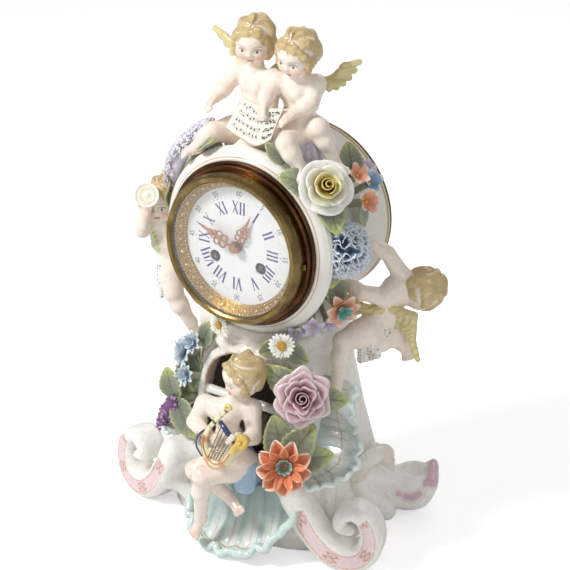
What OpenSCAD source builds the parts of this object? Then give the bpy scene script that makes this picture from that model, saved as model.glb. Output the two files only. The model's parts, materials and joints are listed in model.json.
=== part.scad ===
// Porcelain table clock: a drum case on a scrolled base, dressed with winged children and flowers,
// with a round eight-arbor movement, a striking bell and a pendulum.
// Millimetres. +Z is up, the dial faces -Y, and the origin lies on the table under the drum's middle.

/* [Base] */
// Height of the dial's centre above the table
axis_h = 244; // [236:1:262]
// Half width of the base body at its widest
base_half_w = 84; // [78:1:92]
// Half depth of the base body at its deepest
base_half_d = 60; // [56:1:66]
// Wall of the base body
base_wall = 7; // [5:0.5:9]
// Half width of the arch in the front of the base
arch_half_w = 33; // [28:1:36]
// How far a scrolled foot reaches beyond its root
foot_reach = 66; // [58:1:74]
// Thickness of a scrolled foot, front to back
foot_t = 26; // [20:1:32]
// Radius of the shell under the musician
shell_r = 52; // [46:1:58]

/* [Drum] */
// Distance from the origin plane to the drum's front face
drum_front = 54; // [50:1:60]
// Distance from the origin plane to the drum's rear face
drum_rear = 40; // [36:1:46]
// Radius of the drum's front bead
drum_bead_r = 72; // [70:1:78]
// Radius of the drum's waist
drum_waist_r = 59; // [58:0.5:63]
// Radius of the drum's rear rim
drum_rim_r = 68; // [66:1:74]
// Radius of the bore that takes the movement
bore_r = 53; // [53:0.5:55]

/* [Figures and flowers] */
// Height that every child's pose and limbs follow
figure_h = 100; // [94:1:106]
// Radius of a large rose
rose_r = 19; // [16:0.5:21]
// Radius of the carnation
carnation_r = 18; // [15:0.5:20]
// Radius of the lily
lily_r = 21; // [18:0.5:23]
// Radius of a small blossom
blossom_r = 8; // [6:0.5:10]
// Length of a large leaf
leaf_l = 26; // [20:1:32]

/* [Dial and bezel] */
// Radius of the dial that shows
dial_r = 45; // [43:0.5:45]
// Thickness of the enamel dial
dial_t = 1.2; // [1:0.1:1.4]
// Outer radius of the hinged bezel ring
bezel_r = 57.5; // [56.5:0.5:58]
// How far the hinged bezel stands in front of the flange
bezel_depth = 11.2; // [10.6:0.1:12.5]
// Thickness of the glass
glass_t = 1.6; // [1.2:0.1:2]
// Length of the minute hand
minute_l = 36.2; // [30:0.2:38]
// Length of the hour hand
hour_l = 29.9; // [24:0.2:32]
// Thickness of the hands
hand_t = 0.6; // [0.5:0.1:0.8]

/* [Movement] */
// Radius of the plates
plate_r = 41; // [40:0.5:42]
// Thickness of the plates
plate_t = 2.5; // [2:0.1:3]
// Distance between the plates
plate_gap = 24; // [24:0.5:26]
// Radius of the mainspring barrels
barrel_r = 16.5; // [15:0.5:17]
// Spacing of the two winding squares
winding_span = 40; // [39:0.5:41]
// Width of a winding square across its flats
square_w = 3.5; // [3:0.1:4]
// Radius of a steel arbor
arbor_r = 0.9; // [0.8:0.05:1]
// Radius of a pivot
pivot_r = 0.5; // [0.4:0.05:0.6]
// Radius of the bell
bell_r = 26; // [22:1:27]
// Length of the pendulum from its suspension to the bob's middle
pendulum_l = 140; // [136:1:144]
// Radius of the pendulum bob
bob_r = 14; // [12:0.5:15]

/* [Fits] */
// Gap between seated pieces
seat_gap = 0.3; // [0.2:0.05:0.4]
// Running clearance round a pivot or a pipe
run_gap = 0.05; // [0.03:0.01:0.08]

/* [Hidden] */
$fn = 64;

// Facets of a limb, a petal, a lofted slice and a cutting envelope
body_fn = 8;
limb_fn = 6;
petal_fn = 4;
slice_fn = 24;
envelope_fn = 64;

// Overrun of every cut
cut = 1;

// Small sizes of the case
flange_depth = 6.7;
dial_sink = 0.4;
lip_r = 47;
lip_depth = 5;
band_r = 61;
flange_r = 63;
flange_plate_t = 3;
edge = 1;
fine = 0.3;
sight_t = 6.8;
sight_gap = 0.5;
bezel_wall = 4.7;
bezel_lip = 6;
glass_seat = 1.2;
glass_rebate = 3.4;
glass_gap = 0.1;
glass_rise = 2.2;
hinge_stand = 2.2;
catch_w = 2;
knob_r = 2;
dial_edge = 1.5;
dial_hole_r = 4;
winding_hole_r = 4.6;
dial_foot_r = 1.2;
dial_feet_share = 0.85;
dial_foot_turns = [90, 225, 315];
spigot_t = 2.6;
spigot_l = 10;
strap_t = 3;
strap_w = 8;
strap_inset = 5;
screw_r = 1;
screw_l = 12;
screw_head_r = 2.2;
screw_head_t = 1;
ring_t = 2.2;
ring_lip_r = 45;
door_t = 1.5;
door_r = 60;
knuckle_r = 1.6;
knuckle_l = 3;
hinge_pin_r = 0.8;

// Small sizes of the movement
shake = 0.2;
winding_r = 3;
tenon_r = 1.8;
pillar_r = 2.5;
post_r = 1.6;
ear_r = 2.4;
ear_reach = 47.4;
stud_r = 0.8;
stud_l = 6;
wheel_t = 1;
web_gap = 1.2;
barrel_l = 11;
motion_t = 1.2;
hand_rise = 2.8;
rod_r = 1;
crutch_l = 28;
crutch_t = 1;
cock_t = 2;
cock_w = 24;
cock_foot = 5;
bob_t = 6;
eye_r = 2.6;
eye_t = 1.6;
bell_depth = 16;
bell_t = 1.6;
hammer_r = 3.5;
hammer_gap = 1.5;
strike_bearing = 150;
shown_minute = 48.6;

// Levels along Y, front to back
face_y = -drum_front;
flange_rear_y = face_y - seat_gap;
flange_front_y = flange_rear_y - flange_depth;
dial_front_y = flange_front_y + dial_sink;
dial_rear_y = dial_front_y + dial_t;
bezel_rear_y = flange_front_y - seat_gap;
bezel_front_y = bezel_rear_y - bezel_depth;
plate_inset = 3;
front_plate_y = face_y + plate_inset;
plate_back_y = front_plate_y + plate_t;
back_plate_y = plate_back_y + plate_gap;
back_plate_rear_y = back_plate_y + plate_t;
ring_y = drum_rear + seat_gap;
door_gap = 0.5;
door_y = ring_y + ring_t + door_gap;

// Places in the movement, seen from the front as [right, up] from the dial's centre
barrel_drop_share = 0.315;
winding_at = [winding_span / 2, -winding_span * barrel_drop_share];
great_teeth = 84;
great_module = 0.44;
inter_teeth = 70;
inter_module = 0.42;
centre_teeth = 84;
centre_module = 0.36;
third_teeth = 80;
third_module = 0.32;
motion_module = 0.5;
hour_module = 0.48;
pinion_leaves = 10;
leaf_count = 7;
cannon_teeth = 12;
minute_teeth = 36;
hour_teeth = 40;
escape_teeth = 36;
escape_r = 8;
function mesh(module_size, wheel, pinion) = module_size * (wheel + pinion) / 2;
function polar(r, a) = [r * cos(a), r * sin(a)];
function toward(a, b) = atan2(b[1] - a[1], b[0] - a[0]);
// The intermediate arbor keeps its mesh with the barrel and with the centre pinion
barrel_mesh = mesh(great_module, great_teeth, pinion_leaves);
centre_mesh = mesh(inter_module, inter_teeth, pinion_leaves);
barrel_reach = norm(winding_at);
apex_cos = (barrel_reach ^ 2 + centre_mesh ^ 2 - barrel_mesh ^ 2) / (2 * barrel_reach * centre_mesh);
inter_at = polar(centre_mesh, toward([0, 0], winding_at) + acos(apex_cos));
third_bearing = 105;
third_at = polar(mesh(centre_module, centre_teeth, leaf_count), third_bearing);
escape_mesh = mesh(third_module, third_teeth, leaf_count);
escape_at = [0, third_at[1] + sqrt(escape_mesh ^ 2 - third_at[0] ^ 2)];
pallet_rise_share = 1.25;
pallet_at = [0, escape_at[1] + escape_r * pallet_rise_share];
minute_at = [0, mesh(motion_module, minute_teeth, cannon_teeth)];
pillar_shares = [[0.64, 0.64], [-0.64, 0.64], [0.32, -0.87], [-0.32, -0.87]];
ear_bearings = [60, 180, 300];
strap_bearings = [25, 205];
bell_at_share = [-0.3, -0.2];
hammer_at_share = [-0.77, 0.495];
hammer_at = hammer_at_share * plate_r;

// Base and drum outlines
base_top = axis_h - drum_bead_r;
base_floor = 5;
base_roof = 12;
slot_half_w = 11;
slot_half_d = 8;
vent_r = 6;
pendulum_y = back_plate_rear_y + 3 * cock_t + 3 * rod_r;
squareness = 2.6;
// Height, half width and half depth of each slice of the base body
base_slice_shares = [[0, 0.95, 1], [0.13, 1, 1], [0.32, 0.93, 1], [0.55, 0.76, 0.95],
  [0.76, 0.65, 0.87], [0.9, 0.58, 0.8], [1, 0.62, 0.8]];
base_widths = [for (s = base_slice_shares) [s[0] * base_top, s[1] * base_half_w]];
base_depths = [for (s = base_slice_shares) [s[0] * base_top, s[2] * base_half_d]];
function power(v, p) = sign(v) * pow(abs(v), p);
function slice(a, b) = [for (i = [0 : slice_fn - 1])
  [a * power(cos(i * 360 / slice_fn), 2 / squareness), b * power(sin(i * 360 / slice_fn),
    2 / squareness)]];
function base_slice(z, grow) = [for (p = slice(lookup(z, base_widths) + grow, lookup(z,
  base_depths) + grow))
  [p[0], p[1], z]];

bead_depth = 8;
bead_drop = 8;
waist_share = 0.42;
waist_y = face_y + waist_share * (drum_front + drum_rear);
neck_y = face_y + 2 * bead_depth;
neck_r = drum_bead_r - bead_drop;
function drum_r(y) =
  y < neck_y ? drum_bead_r - bead_drop * pow((y - face_y - bead_depth) / bead_depth, 2)
  : y < waist_y ? drum_waist_r + (neck_r - drum_waist_r) * pow((waist_y - y) / (waist_y - neck_y), 2)
  : drum_waist_r + (drum_rim_r - drum_waist_r) * pow((y - waist_y) / (drum_rear - waist_y), 2);
drum_stations = 10;
drum_levels = concat([for (i = [0 : 6]) face_y + i * (neck_y - face_y) / 6],
  [for (i = [1 : drum_stations]) neck_y + i * (drum_rear - neck_y) / drum_stations]);

// A body turned about the dial's axis from points given as [radius, y]
module turned(profile) {
  translate([0, 0, axis_h])
    rotate([-90, 0, 0])
      rotate_extrude()
        polygon(profile);
}
// A flat piece drawn as seen from the front, between two levels along Y
module plate(front_y, rear_y) {
  translate([0, rear_y, axis_h])
    rotate([90, 0, 0])
      linear_extrude(rear_y - front_y)
        children();
}
// A round bar along Y at a place seen from the front
module bar(at, r, front_y, rear_y) {
  translate([at[0], rear_y, axis_h + at[1]])
    rotate([90, 0, 0])
      cylinder(r = r, h = rear_y - front_y);
}
// A solid skinned over closed outlines of equal count, lowest first
module loft(slices) {
  n = len(slices[0]);
  k = len(slices);
  sides = [for (j = [0 : k - 2], i = [0 : n - 1], half = [0, 1]) half == 0
    ? [j * n + i, (j + 1) * n + i, j * n + (i + 1) % n]
    : [j * n + (i + 1) % n, (j + 1) * n + i, (j + 1) * n + (i + 1) % n]];
  caps = [[for (i = [0 : n - 1]) i], [for (i = [n - 1 : -1 : 0]) (k - 1) * n + i]];
  polyhedron([for (s = slices) each s], concat(sides, caps));
}
// What the drum and the base take up, grown by a gap, to seat other pieces on
module drum_envelope(grow) {
  outline = concat([[0, face_y - grow]], [for (y = drum_levels) [drum_r(y) + grow, y]],
    [[0, drum_rear + grow]]);
  translate([0, 0, axis_h])
    rotate([-90, 0, 0])
      rotate_extrude($fn = envelope_fn)
        polygon(outline);
  // The brass flange and the bezel in front of the drum
  translate([0, face_y + edge, axis_h])
    rotate([90, 0, 0])
      cylinder(r = flange_r + edge + 2 * grow, h = drum_front, $fn = envelope_fn);
}
module base_envelope(grow) {
  loft([for (s = base_slice_shares) base_slice(s[0] * base_top, grow)]);
  saddle_block(grow);
  translate([-2 * base_half_w, -3 * base_half_d, -base_top])
    cube([4 * base_half_w, 6 * base_half_d, base_top]);
}

// Base
module base_body() {
  levels = [for (s = base_slice_shares) s[0] * base_top];
  last = len(levels) - 1;
  cavity = concat([base_floor], [for (i = [1 : last - 1]) levels[i]], [base_top - base_roof]);
  color("whitesmoke") {
    difference() {
      loft([for (z = levels) base_slice(z, 0)]);
      loft([for (z = cavity) base_slice(z, -base_wall)]);
      arch_cut();
      pendulum_slot();
      translate([0, base_half_d / 2, -cut])
        cylinder(r = vent_r, h = base_floor + 2 * cut);
    }
    arch_rail();
  }
}
arch_sill_share = 0.35;
arch_spring_share = 0.69;
arch_rail_share = 0.64;
arch_rail_t = 6;
module arch_cut() {
  sill = arch_sill_share * base_top;
  spring = arch_spring_share * base_top;
  translate([0, 0, -axis_h])
    plate(-base_half_d - cut, -base_half_d / 2) {
      translate([-arch_half_w, sill])
        square([2 * arch_half_w, spring - sill]);
      translate([0, spring])
        circle(r = arch_half_w);
    }
}
module arch_rail() {
  half = arch_half_w + base_wall / 2;
  translate([-half, -base_half_d * 0.86, arch_rail_share * base_top])
    cube([2 * half, base_wall, arch_rail_t]);
}
module pendulum_slot() {
  translate([-slot_half_w, pendulum_y - slot_half_d, base_top / 2])
    cube([2 * slot_half_w, 2 * slot_half_d, axis_h - base_top / 2]);
}

// The saddle cradles the drum on the base
saddle_w_share = 0.56;
saddle_d_share = 0.78;
saddle_rise = 26;
module saddle_block(grow) {
  a = saddle_w_share * base_half_w + grow;
  b = saddle_d_share * base_half_d + grow;
  translate([0, 0, base_top + seat_gap - grow])
    linear_extrude(saddle_rise + 2 * grow)
      polygon(slice(a, b));
}
module saddle() {
  color("white")
    difference() {
      saddle_block(0);
      turned(concat([[0, face_y - cut]], [[drum_r(face_y) + seat_gap, face_y - cut]],
        [for (y = drum_levels) [drum_r(y) + seat_gap, y]],
        [[drum_rim_r + 2 * seat_gap, base_half_d], [0, base_half_d]]));
      pendulum_slot();
    }
}

// Scrolled feet: a band that runs down and out, rises and curls into its volute
foot_root_share = [0.64, 0.97];
back_root_share = [0.64, 0.66];
front_foot_turn = 18;
back_foot_turn = 28;
foot_path_shares = [[0, 0.88], [0.12, 0.61], [0.27, 0.33], [0.48, 0.13], [0.73, 0.08], [0.91, 0.2],
  [0.98, 0.45], [0.91, 0.7], [0.74, 0.8], [0.58, 0.71], [0.56, 0.56], [0.7, 0.53]];
foot_band_shares = [0.12, 0.12, 0.115, 0.11, 0.11, 0.105, 0.1, 0.09, 0.08, 0.07, 0.06, 0.05];
foot_width_shares = [for (s = foot_path_shares) 1];
// The feet behind end in a scoop, a wide tongue that turns up to its lip
scoop_path_shares = [[0, 0.72], [0.14, 0.46], [0.32, 0.26], [0.54, 0.17], [0.76, 0.26], [0.86, 0.46]];
scoop_band_shares = [0.13, 0.14, 0.13, 0.12, 0.09, 0.06];
scoop_width_shares = [1.5, 1.4, 1.3, 1.4, 1.5, 1.3];
module foot_scroll(path, bands, widths, grow) {
  for (i = [0 : len(path) - 2])
    hull()
      for (j = [i, i + 1])
        translate([path[j][0] * foot_reach, 0, path[j][1] * foot_reach])
          rotate([90, 0, 0])
            cylinder(r = bands[j] * foot_reach + grow, h = widths[j] * foot_t + 2 * grow,
              center = true, $fn = body_fn);
}
module front_foot(grow) {
  translate([foot_root_share[0] * base_half_w, -foot_root_share[1] * base_half_d, 0])
    rotate([0, 0, front_foot_turn])
      foot_scroll(foot_path_shares, foot_band_shares, foot_width_shares, grow);
}
module back_foot(grow) {
  translate([back_root_share[0] * base_half_w, back_root_share[1] * base_half_d, 0])
    rotate([0, 0, back_foot_turn])
      foot_scroll(scoop_path_shares, scoop_band_shares, scoop_width_shares, grow);
}
module seated_foot(side, front) {
  color("mistyrose")
    difference() {
      mirror([side < 0 ? 1 : 0, 0, 0])
        if (front)
          front_foot(0);
        else
          back_foot(0);
      base_envelope(seat_gap);
    }
}
module foot_front_left() { seated_foot(-1, true); }
module foot_front_right() { seated_foot(1, true); }
module foot_back_left() { seated_foot(-1, false); }
module foot_back_right() { seated_foot(1, false); }

// The scallop shell in front of the base, a fan of webs from its root to a wavy rim
shell_root_share = [0.15, -0.9, 0.28];
shell_lift_shares = [0.5, 0.3, 0.17, 0.12, 0.13, 0.18, 0.32, 0.55, 0.9];
shell_t = 4;
shell_sweep = [200, 340];
shell_flat_share = 0.75;
function shell_rim(i) = let (a = shell_sweep[0] + i * (shell_sweep[1] - shell_sweep[0]) / 8)
  [shell_root_share[0] * base_half_w + shell_r * cos(a),
  shell_root_share[1] * base_half_d + shell_r * shell_flat_share * sin(a),
  shell_lift_shares[i] * shell_r];
function shell_root(i) = [(shell_root_share[0] - 0.3 + 0.075 * i) * base_half_w,
  shell_root_share[1] * base_half_d, shell_root_share[2] * shell_r];
module knob(at, r) {
  translate(at)
    sphere(r = r, $fn = petal_fn);
}
module front_shell() {
  color("paleturquoise")
    difference() {
      for (i = [0 : 7])
        hull() {
          knob(shell_root(i), shell_t / 2);
          knob(shell_root(i + 1), shell_t / 2);
          knob(shell_rim(i), shell_t / 2);
          knob(shell_rim(i + 1), shell_t / 2);
        }
      base_envelope(seat_gap);
      front_foot(seat_gap);
      mirror([1, 0, 0])
        front_foot(seat_gap);
      musician_figure(seat_gap);
    }
}

// Frilled shellwork on each side of the base: rim places as shares of the base's size
frill_rim_shares = [[0.95, -0.25, 0.79], [0.94, -0.36, 0.71], [1, -0.48, 0.64], [1.11, -0.56, 0.58],
  [1.15, -0.7, 0.49], [1.1, -0.86, 0.46], [0.98, -1.08, 0.43], [0.86, -1.2, 0.42]];
frill_root_shares = [[0.55, -0.35, 0.8], [0.6, -0.42, 0.72], [0.62, -0.5, 0.65], [0.68, -0.6, 0.57],
  [0.72, -0.68, 0.49], [0.72, -0.76, 0.44], [0.7, -0.85, 0.41], [0.62, -0.9, 0.4]];
rocaille_t = 4;
function on_base(s) = [s[0] * base_half_w, s[1] * base_half_d, s[2] * base_top];
// The frill on the left stands out less than the one on the right
left_frill_share = 0.45;
function frill_rim(i, side) = on_base(frill_root_shares[i] + (frill_rim_shares[i] - frill_root_shares[i])
  * (side < 0 ? left_frill_share : 1));
module frill(side, grow) {
  mirror([side < 0 ? 1 : 0, 0, 0])
    for (i = [0 : len(frill_rim_shares) - 2]) {
      hull()
        for (j = [i, i + 1]) {
          knob(frill_rim(j, side), rocaille_t / 2 + grow);
          knob(on_base(frill_root_shares[j]), rocaille_t / 2 + grow);
        }
      hull()
        for (j = [i, i + 1])
          knob(frill_rim(j, side), rocaille_t * 0.7 + grow);
    }
}
module rocaille(side) {
  color("powderblue")
    difference() {
      frill(side, 0);
      base_envelope(seat_gap);
      mirror([side < 0 ? 1 : 0, 0, 0])
        front_foot(seat_gap);
      if (side > 0)
        right_figure(seat_gap);
      else {
        left_figure(seat_gap);
        berries(seat_gap);
      }
    }
}
module rocaille_left() { rocaille(-1); }
module rocaille_right() { rocaille(1); }

// Drum
module drum_case() {
  color("ivory")
    difference() {
      turned(concat([[bore_r, face_y]], [for (y = drum_levels) [drum_r(y), y]],
        [[bore_r, drum_rear]]));
      pendulum_slot();
    }
}

// Children. A pose is a table of joints as shares of figure_h, counted from the middle of the hips:
// chest, neck, head, chin, then shoulder, elbow, hand, hip, knee, ankle and toe of each side.
CHEST = 0;
NECK = 1;
HEAD = 2;
CHIN = 3;
SIDES = [4, 11];
top_left_shares = [[-0.01, 0.02, 0.3], [-0.02, 0.01, 0.45], [-0.03, 0, 0.68], [0, -0.06, 0.58],
  [-0.18, 0.02, 0.4], [-0.21, -0.1, 0.29], [-0.22, -0.25, 0.22],
  [-0.08, -0.04, -0.02], [-0.19, -0.28, 0], [-0.29, -0.35, -0.12], [-0.35, -0.4, -0.16],
  [0.14, 0, 0.4], [0.18, -0.1, 0.22], [0.11, -0.22, 0.15],
  [0.07, -0.04, -0.02], [0.17, -0.24, 0.02], [0.05, -0.32, -0.07], [-0.01, -0.35, -0.1]];
top_right_shares = [[-0.06, -0.04, 0.33], [-0.05, -0.06, 0.46], [-0.01, -0.1, 0.665],
  [-0.07, -0.18, 0.55],
  [-0.19, -0.1, 0.4], [-0.19, -0.22, 0.33], [-0.17, -0.3, 0.26],
  [-0.05, -0.06, 0.05], [0.05, -0.32, 0.05], [0.16, -0.3, -0.12], [0.2, -0.36, -0.19],
  [0.08, 0, 0.41], [0.09, -0.08, 0.28], [0, -0.24, 0.22],
  [0.06, 0, 0.05], [0.18, -0.1, 0.13], [0.27, -0.02, -0.13], [0.35, -0.03, -0.18]];
musician_shares = [[-0.06, -0.06, 0.36], [-0.01, -0.02, 0.51], [0.04, 0.02, 0.7], [-0.03, -0.06, 0.58],
  [-0.24, -0.08, 0.41], [-0.28, -0.16, 0.28], [-0.07, -0.24, 0.26],
  [-0.09, -0.02, -0.03], [-0.26, -0.17, -0.12], [0, -0.08, -0.32], [0.1, -0.12, -0.37],
  [0.11, 0.02, 0.44], [0.19, -0.06, 0.26], [0.16, -0.23, 0.3],
  [0.06, 0.02, -0.05], [-0.13, -0.26, -0.09], [-0.2, -0.18, -0.52], [-0.23, -0.22, -0.64]];
right_shares = [[0.1, 0.09, 0.32], [0.18, 0.15, 0.34], [0.3, 0.22, 0.34], [0.24, 0.26, 0.24],
  [0.12, 0.14, 0.42], [0.02, 0.07, 0.61], [-0.11, -0.03, 0.72],
  [-0.04, -0.06, 0.02], [-0.16, -0.22, -0.04], [-0.19, -0.24, -0.44], [-0.23, -0.24, -0.53],
  [0.06, -0.01, 0.3], [-0.08, -0.12, 0.34], [-0.27, -0.12, 0.4],
  [0.03, 0.06, 0], [0.12, 0.12, -0.07], [0.18, 0.14, -0.15], [0.18, 0.17, -0.23]];
left_shares = [[-0.06, -0.06, 0.28], [-0.08, -0.09, 0.41], [-0.1, -0.14, 0.57], [-0.08, -0.22, 0.49],
  [-0.11, -0.17, 0.37], [-0.13, -0.25, 0.24], [-0.08, -0.27, 0.43],
  [-0.02, -0.04, -0.04], [0.08, -0.14, -0.26], [0.2, -0.07, -0.52], [0.25, -0.04, -0.66],
  [0.01, -0.01, 0.37], [0.09, 0.02, 0.44], [0.19, 0.06, 0.42],
  [0.04, 0.05, -0.04], [0.12, 0.1, -0.28], [0.22, 0.16, -0.48], [0.26, 0.16, -0.58]];
// Wings as [root, middle, tip] in the same shares
top_left_wing_shares = [[[-0.08, 0.08, 0.4], [-0.3, 0.18, 0.5], [-0.46, 0.17, 0.56]],
  [[0.08, 0.08, 0.4], [0.2, 0.2, 0.52], [0.17, 0.22, 0.66]]];
top_right_wing_shares = [[[0.04, 0.06, 0.42], [0.12, 0.14, 0.36], [0.2, 0.18, 0.55]],
  [[-0.08, 0.04, 0.42], [-0.12, 0.14, 0.46], [-0.13, 0.2, 0.56]]];
right_wing_shares = [[[0.02, 0.04, 0.18], [-0.1, 0.02, 0.17], [-0.23, -0.04, 0.26]],
  [[0.1, 0.12, 0.2], [0.28, 0.18, 0.16], [0.28, 0.15, -0.1]]];
left_wing_shares = [[[-0.1, 0.02, 0.3], [-0.18, 0.12, 0.32], [-0.22, 0.16, 0.46]],
  [[-0.02, 0.06, 0.3], [-0.04, 0.18, 0.34], [-0.02, 0.24, 0.46]]];
chest_share = 0.125;
hips_share = 0.13;
neck_share = 0.06;
skull_share = 0.158;
jaw_share = 0.095;
curl_share = 0.058;
arm_shares = [0.068, 0.056, 0.042];
leg_shares = [0.1, 0.074, 0.046, 0.04];
wing_share = 0.03;
curls = 6;

module ball(at, r, facets = limb_fn) {
  translate(at)
    sphere(r = r, $fn = facets);
}
module limb(a, ra, b, rb, facets = limb_fn) {
  hull() {
    ball(a, ra, facets);
    ball(b, rb, facets);
  }
}
module chain(places, radii) {
  for (i = [0 : len(places) - 2])
    limb(places[i], radii[i], places[i + 1], radii[i + 1]);
}
module putto(shares, wings, grow) {
  p = shares * figure_h;
  look = (p[CHIN] - p[HEAD]) / norm(p[CHIN] - p[HEAD]);
  limb([0, 0, 0], hips_share * figure_h + grow, p[CHEST], chest_share * figure_h + grow, body_fn);
  limb(p[CHEST], chest_share * figure_h / 2 + grow, p[NECK], neck_share * figure_h + grow);
  limb(p[NECK], neck_share * figure_h + grow, p[HEAD], neck_share * figure_h + grow);
  limb(p[HEAD], skull_share * figure_h + grow, p[CHIN], jaw_share * figure_h + grow, body_fn);
  for (i = [0 : curls - 1]) {
    z = 1 - (2 * i + 1) / curls;
    way = [sqrt(1 - z * z) * cos(i * 137.5), sqrt(1 - z * z) * sin(i * 137.5), z];
    if (way * look < 0.2)
      ball(p[HEAD] + way * skull_share * figure_h, curl_share * figure_h + grow);
  }
  for (s = SIDES) {
    chain([p[s], p[s + 1], p[s + 2]], [for (r = arm_shares) r * figure_h + grow]);
    chain([for (k = [3 : 6]) p[s + k]], [for (r = leg_shares) r * figure_h + grow]);
    limb(p[CHEST], chest_share * figure_h / 2 + grow, p[s], arm_shares[0] * figure_h + grow);
  }
  for (w = wings)
    hull()
      for (at = w)
        ball(at * figure_h, wing_share * figure_h + grow);
}
left_top_share = [-0.32, -0.2, 0.24];
right_top_share = [0.42, -0.24, 0.3];
musician_hips_share = [0.17, -1.3, 0.477];
right_hips_share = [0.976, 0.067, 1.012];
left_hips_share = [-0.976, -0.4, 1.186];
top_left_hips = [left_top_share[0] * drum_waist_r, left_top_share[1] * drum_waist_r,
  axis_h + (1 + left_top_share[2]) * drum_waist_r];
top_right_hips = [right_top_share[0] * drum_waist_r, right_top_share[1] * drum_waist_r,
  axis_h + (1 + right_top_share[2]) * drum_waist_r];
mound_share = 0.13;
module top_left_figure(grow) {
  translate(top_left_hips)
    putto(top_left_shares, top_left_wing_shares, grow);
  mound(top_left_hips, grow);
}
module top_right_figure(grow) {
  translate(top_right_hips)
    putto(top_right_shares, top_right_wing_shares, grow);
  mound(top_right_hips, grow);
}
// The mound that carries a seated child, down to the drum
module mound(hips, grow) {
  limb(hips, mound_share * figure_h / 2 + grow,
    [hips[0], hips[1], axis_h + sqrt(drum_waist_r ^ 2 - hips[0] ^ 2)],
      mound_share * figure_h + grow);
}
module musician_figure(grow) {
  hips = on_base(musician_hips_share);
  translate(hips)
    putto(musician_shares, [], grow);
  limb(hips, mound_share * figure_h + grow,
    [hips[0], -base_half_d, hips[2] * 0.7], mound_share * figure_h + grow);
}
module right_figure(grow) {
  translate(on_base(right_hips_share))
    putto(right_shares, right_wing_shares, grow);
}
module left_figure(grow) {
  translate(on_base(left_hips_share))
    putto(left_shares, left_wing_shares, grow);
}
module child() {
  color("bisque")
    difference() {
      children();
      drum_envelope(seat_gap);
      base_envelope(seat_gap);
    }
}
module putto_top_left() { child() top_left_figure(0); }
module putto_top_right() {
  child()
    difference() {
      top_right_figure(0);
      top_left_figure(seat_gap);
    }
}
module putto_musician() { child() musician_figure(0); }
module putto_right() { child() right_figure(0); }
module putto_left() { child() left_figure(0); }

// The lyre: two curved arms from a round foot, with a crossbar, in shares from the musician's hips
lyre_path_shares = [[0.05, -0.2, 0.51], [-0.06, -0.26, 0.36], [-0.1, -0.28, 0.24], [-0.06, -0.3, 0.14],
  [0.02, -0.31, 0.09], [0.1, -0.3, 0.13], [0.15, -0.28, 0.22], [0.2, -0.27, 0.3],
    [0.24, -0.27, 0.36]];
lyre_band_shares = [0.02, 0.025, 0.035, 0.045, 0.05, 0.045, 0.035, 0.04, 0.06];
lyre_bar_shares = [[0.02, -0.25, 0.42], [0.17, -0.28, 0.3]];
module lyre() {
  color("khaki")
    difference() {
      translate(on_base(musician_hips_share)) {
        chain(lyre_path_shares * figure_h, lyre_band_shares * figure_h);
        limb(lyre_bar_shares[0] * figure_h, 0.02 * figure_h, lyre_bar_shares[1] * figure_h,
          0.02 * figure_h);
      }
      musician_figure(seat_gap);
    }
}
// The cymbal that the left child holds up
cymbal_share = [-0.05, -0.3, 0.56];
disc_r_share = 0.095;
disc_t_share = 0.02;
module cymbal() {
  r = disc_r_share * figure_h;
  t = disc_t_share * figure_h;
  color("antiquewhite")
    difference() {
      translate(on_base(left_hips_share) + cymbal_share * figure_h)
        rotate([60, 0, 30]) {
          cylinder(r = r, h = t, $fn = 2 * body_fn);
          lobed_cup(8, r * 0.7, 0.5, 0, 2 * t);
        }
      left_figure(seat_gap);
    }
}
// The sheet of music, two curved pages held by the children on top
page_shares = [[[0.07, -0.27, 0.32], [-0.02, -0.37, 0.1]], [[0.18, -0.3, 0.31], [0.12, -0.39, 0.06]],
  [[0.29, -0.31, 0.3], [0.25, -0.4, 0.03]], [[0.36, -0.3, 0.31], [0.33, -0.39, 0.06]],
  [[0.42, -0.28, 0.32], [0.38, -0.38, 0.1]]];
page_t_share = 0.008;
module song_sheet() {
  color("snow")
    difference() {
      translate(top_left_hips)
        for (i = [0 : 3])
          for (half = [0, 1])
            hull()
              for (j = [i, i + 1]) {
                a = page_shares[j][0] * figure_h;
                b = page_shares[j][1] * figure_h;
                knob(a + (b - a) * half / 2, page_t_share * figure_h);
                knob(a + (b - a) * (half + 1) / 2, page_t_share * figure_h);
              }
      top_left_figure(seat_gap);
      top_right_figure(seat_gap);
      drum_envelope(seat_gap);
    }
}

// Flowers stand on a calyx that reaches back to their carrier
module facing(at, way) {
  translate(at)
    rotate([0, acos(way[2] / norm(way)), atan2(way[1], way[0])])
      children();
}
petal_t_share = 0.07;
module petal_ring(count, r_in, r_out, lift_in, lift_out, turn, t) {
  spread = 150 / count;
  for (i = [0 : count - 1])
    rotate([0, 0, i * 360 / count + turn])
      hull() {
        knob([r_in, 0, lift_in], t);
        knob([r_out * cos(spread), r_out * sin(spread), lift_out], t);
        knob([r_out * cos(spread), -r_out * sin(spread), lift_out], t);
      }
}
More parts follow.
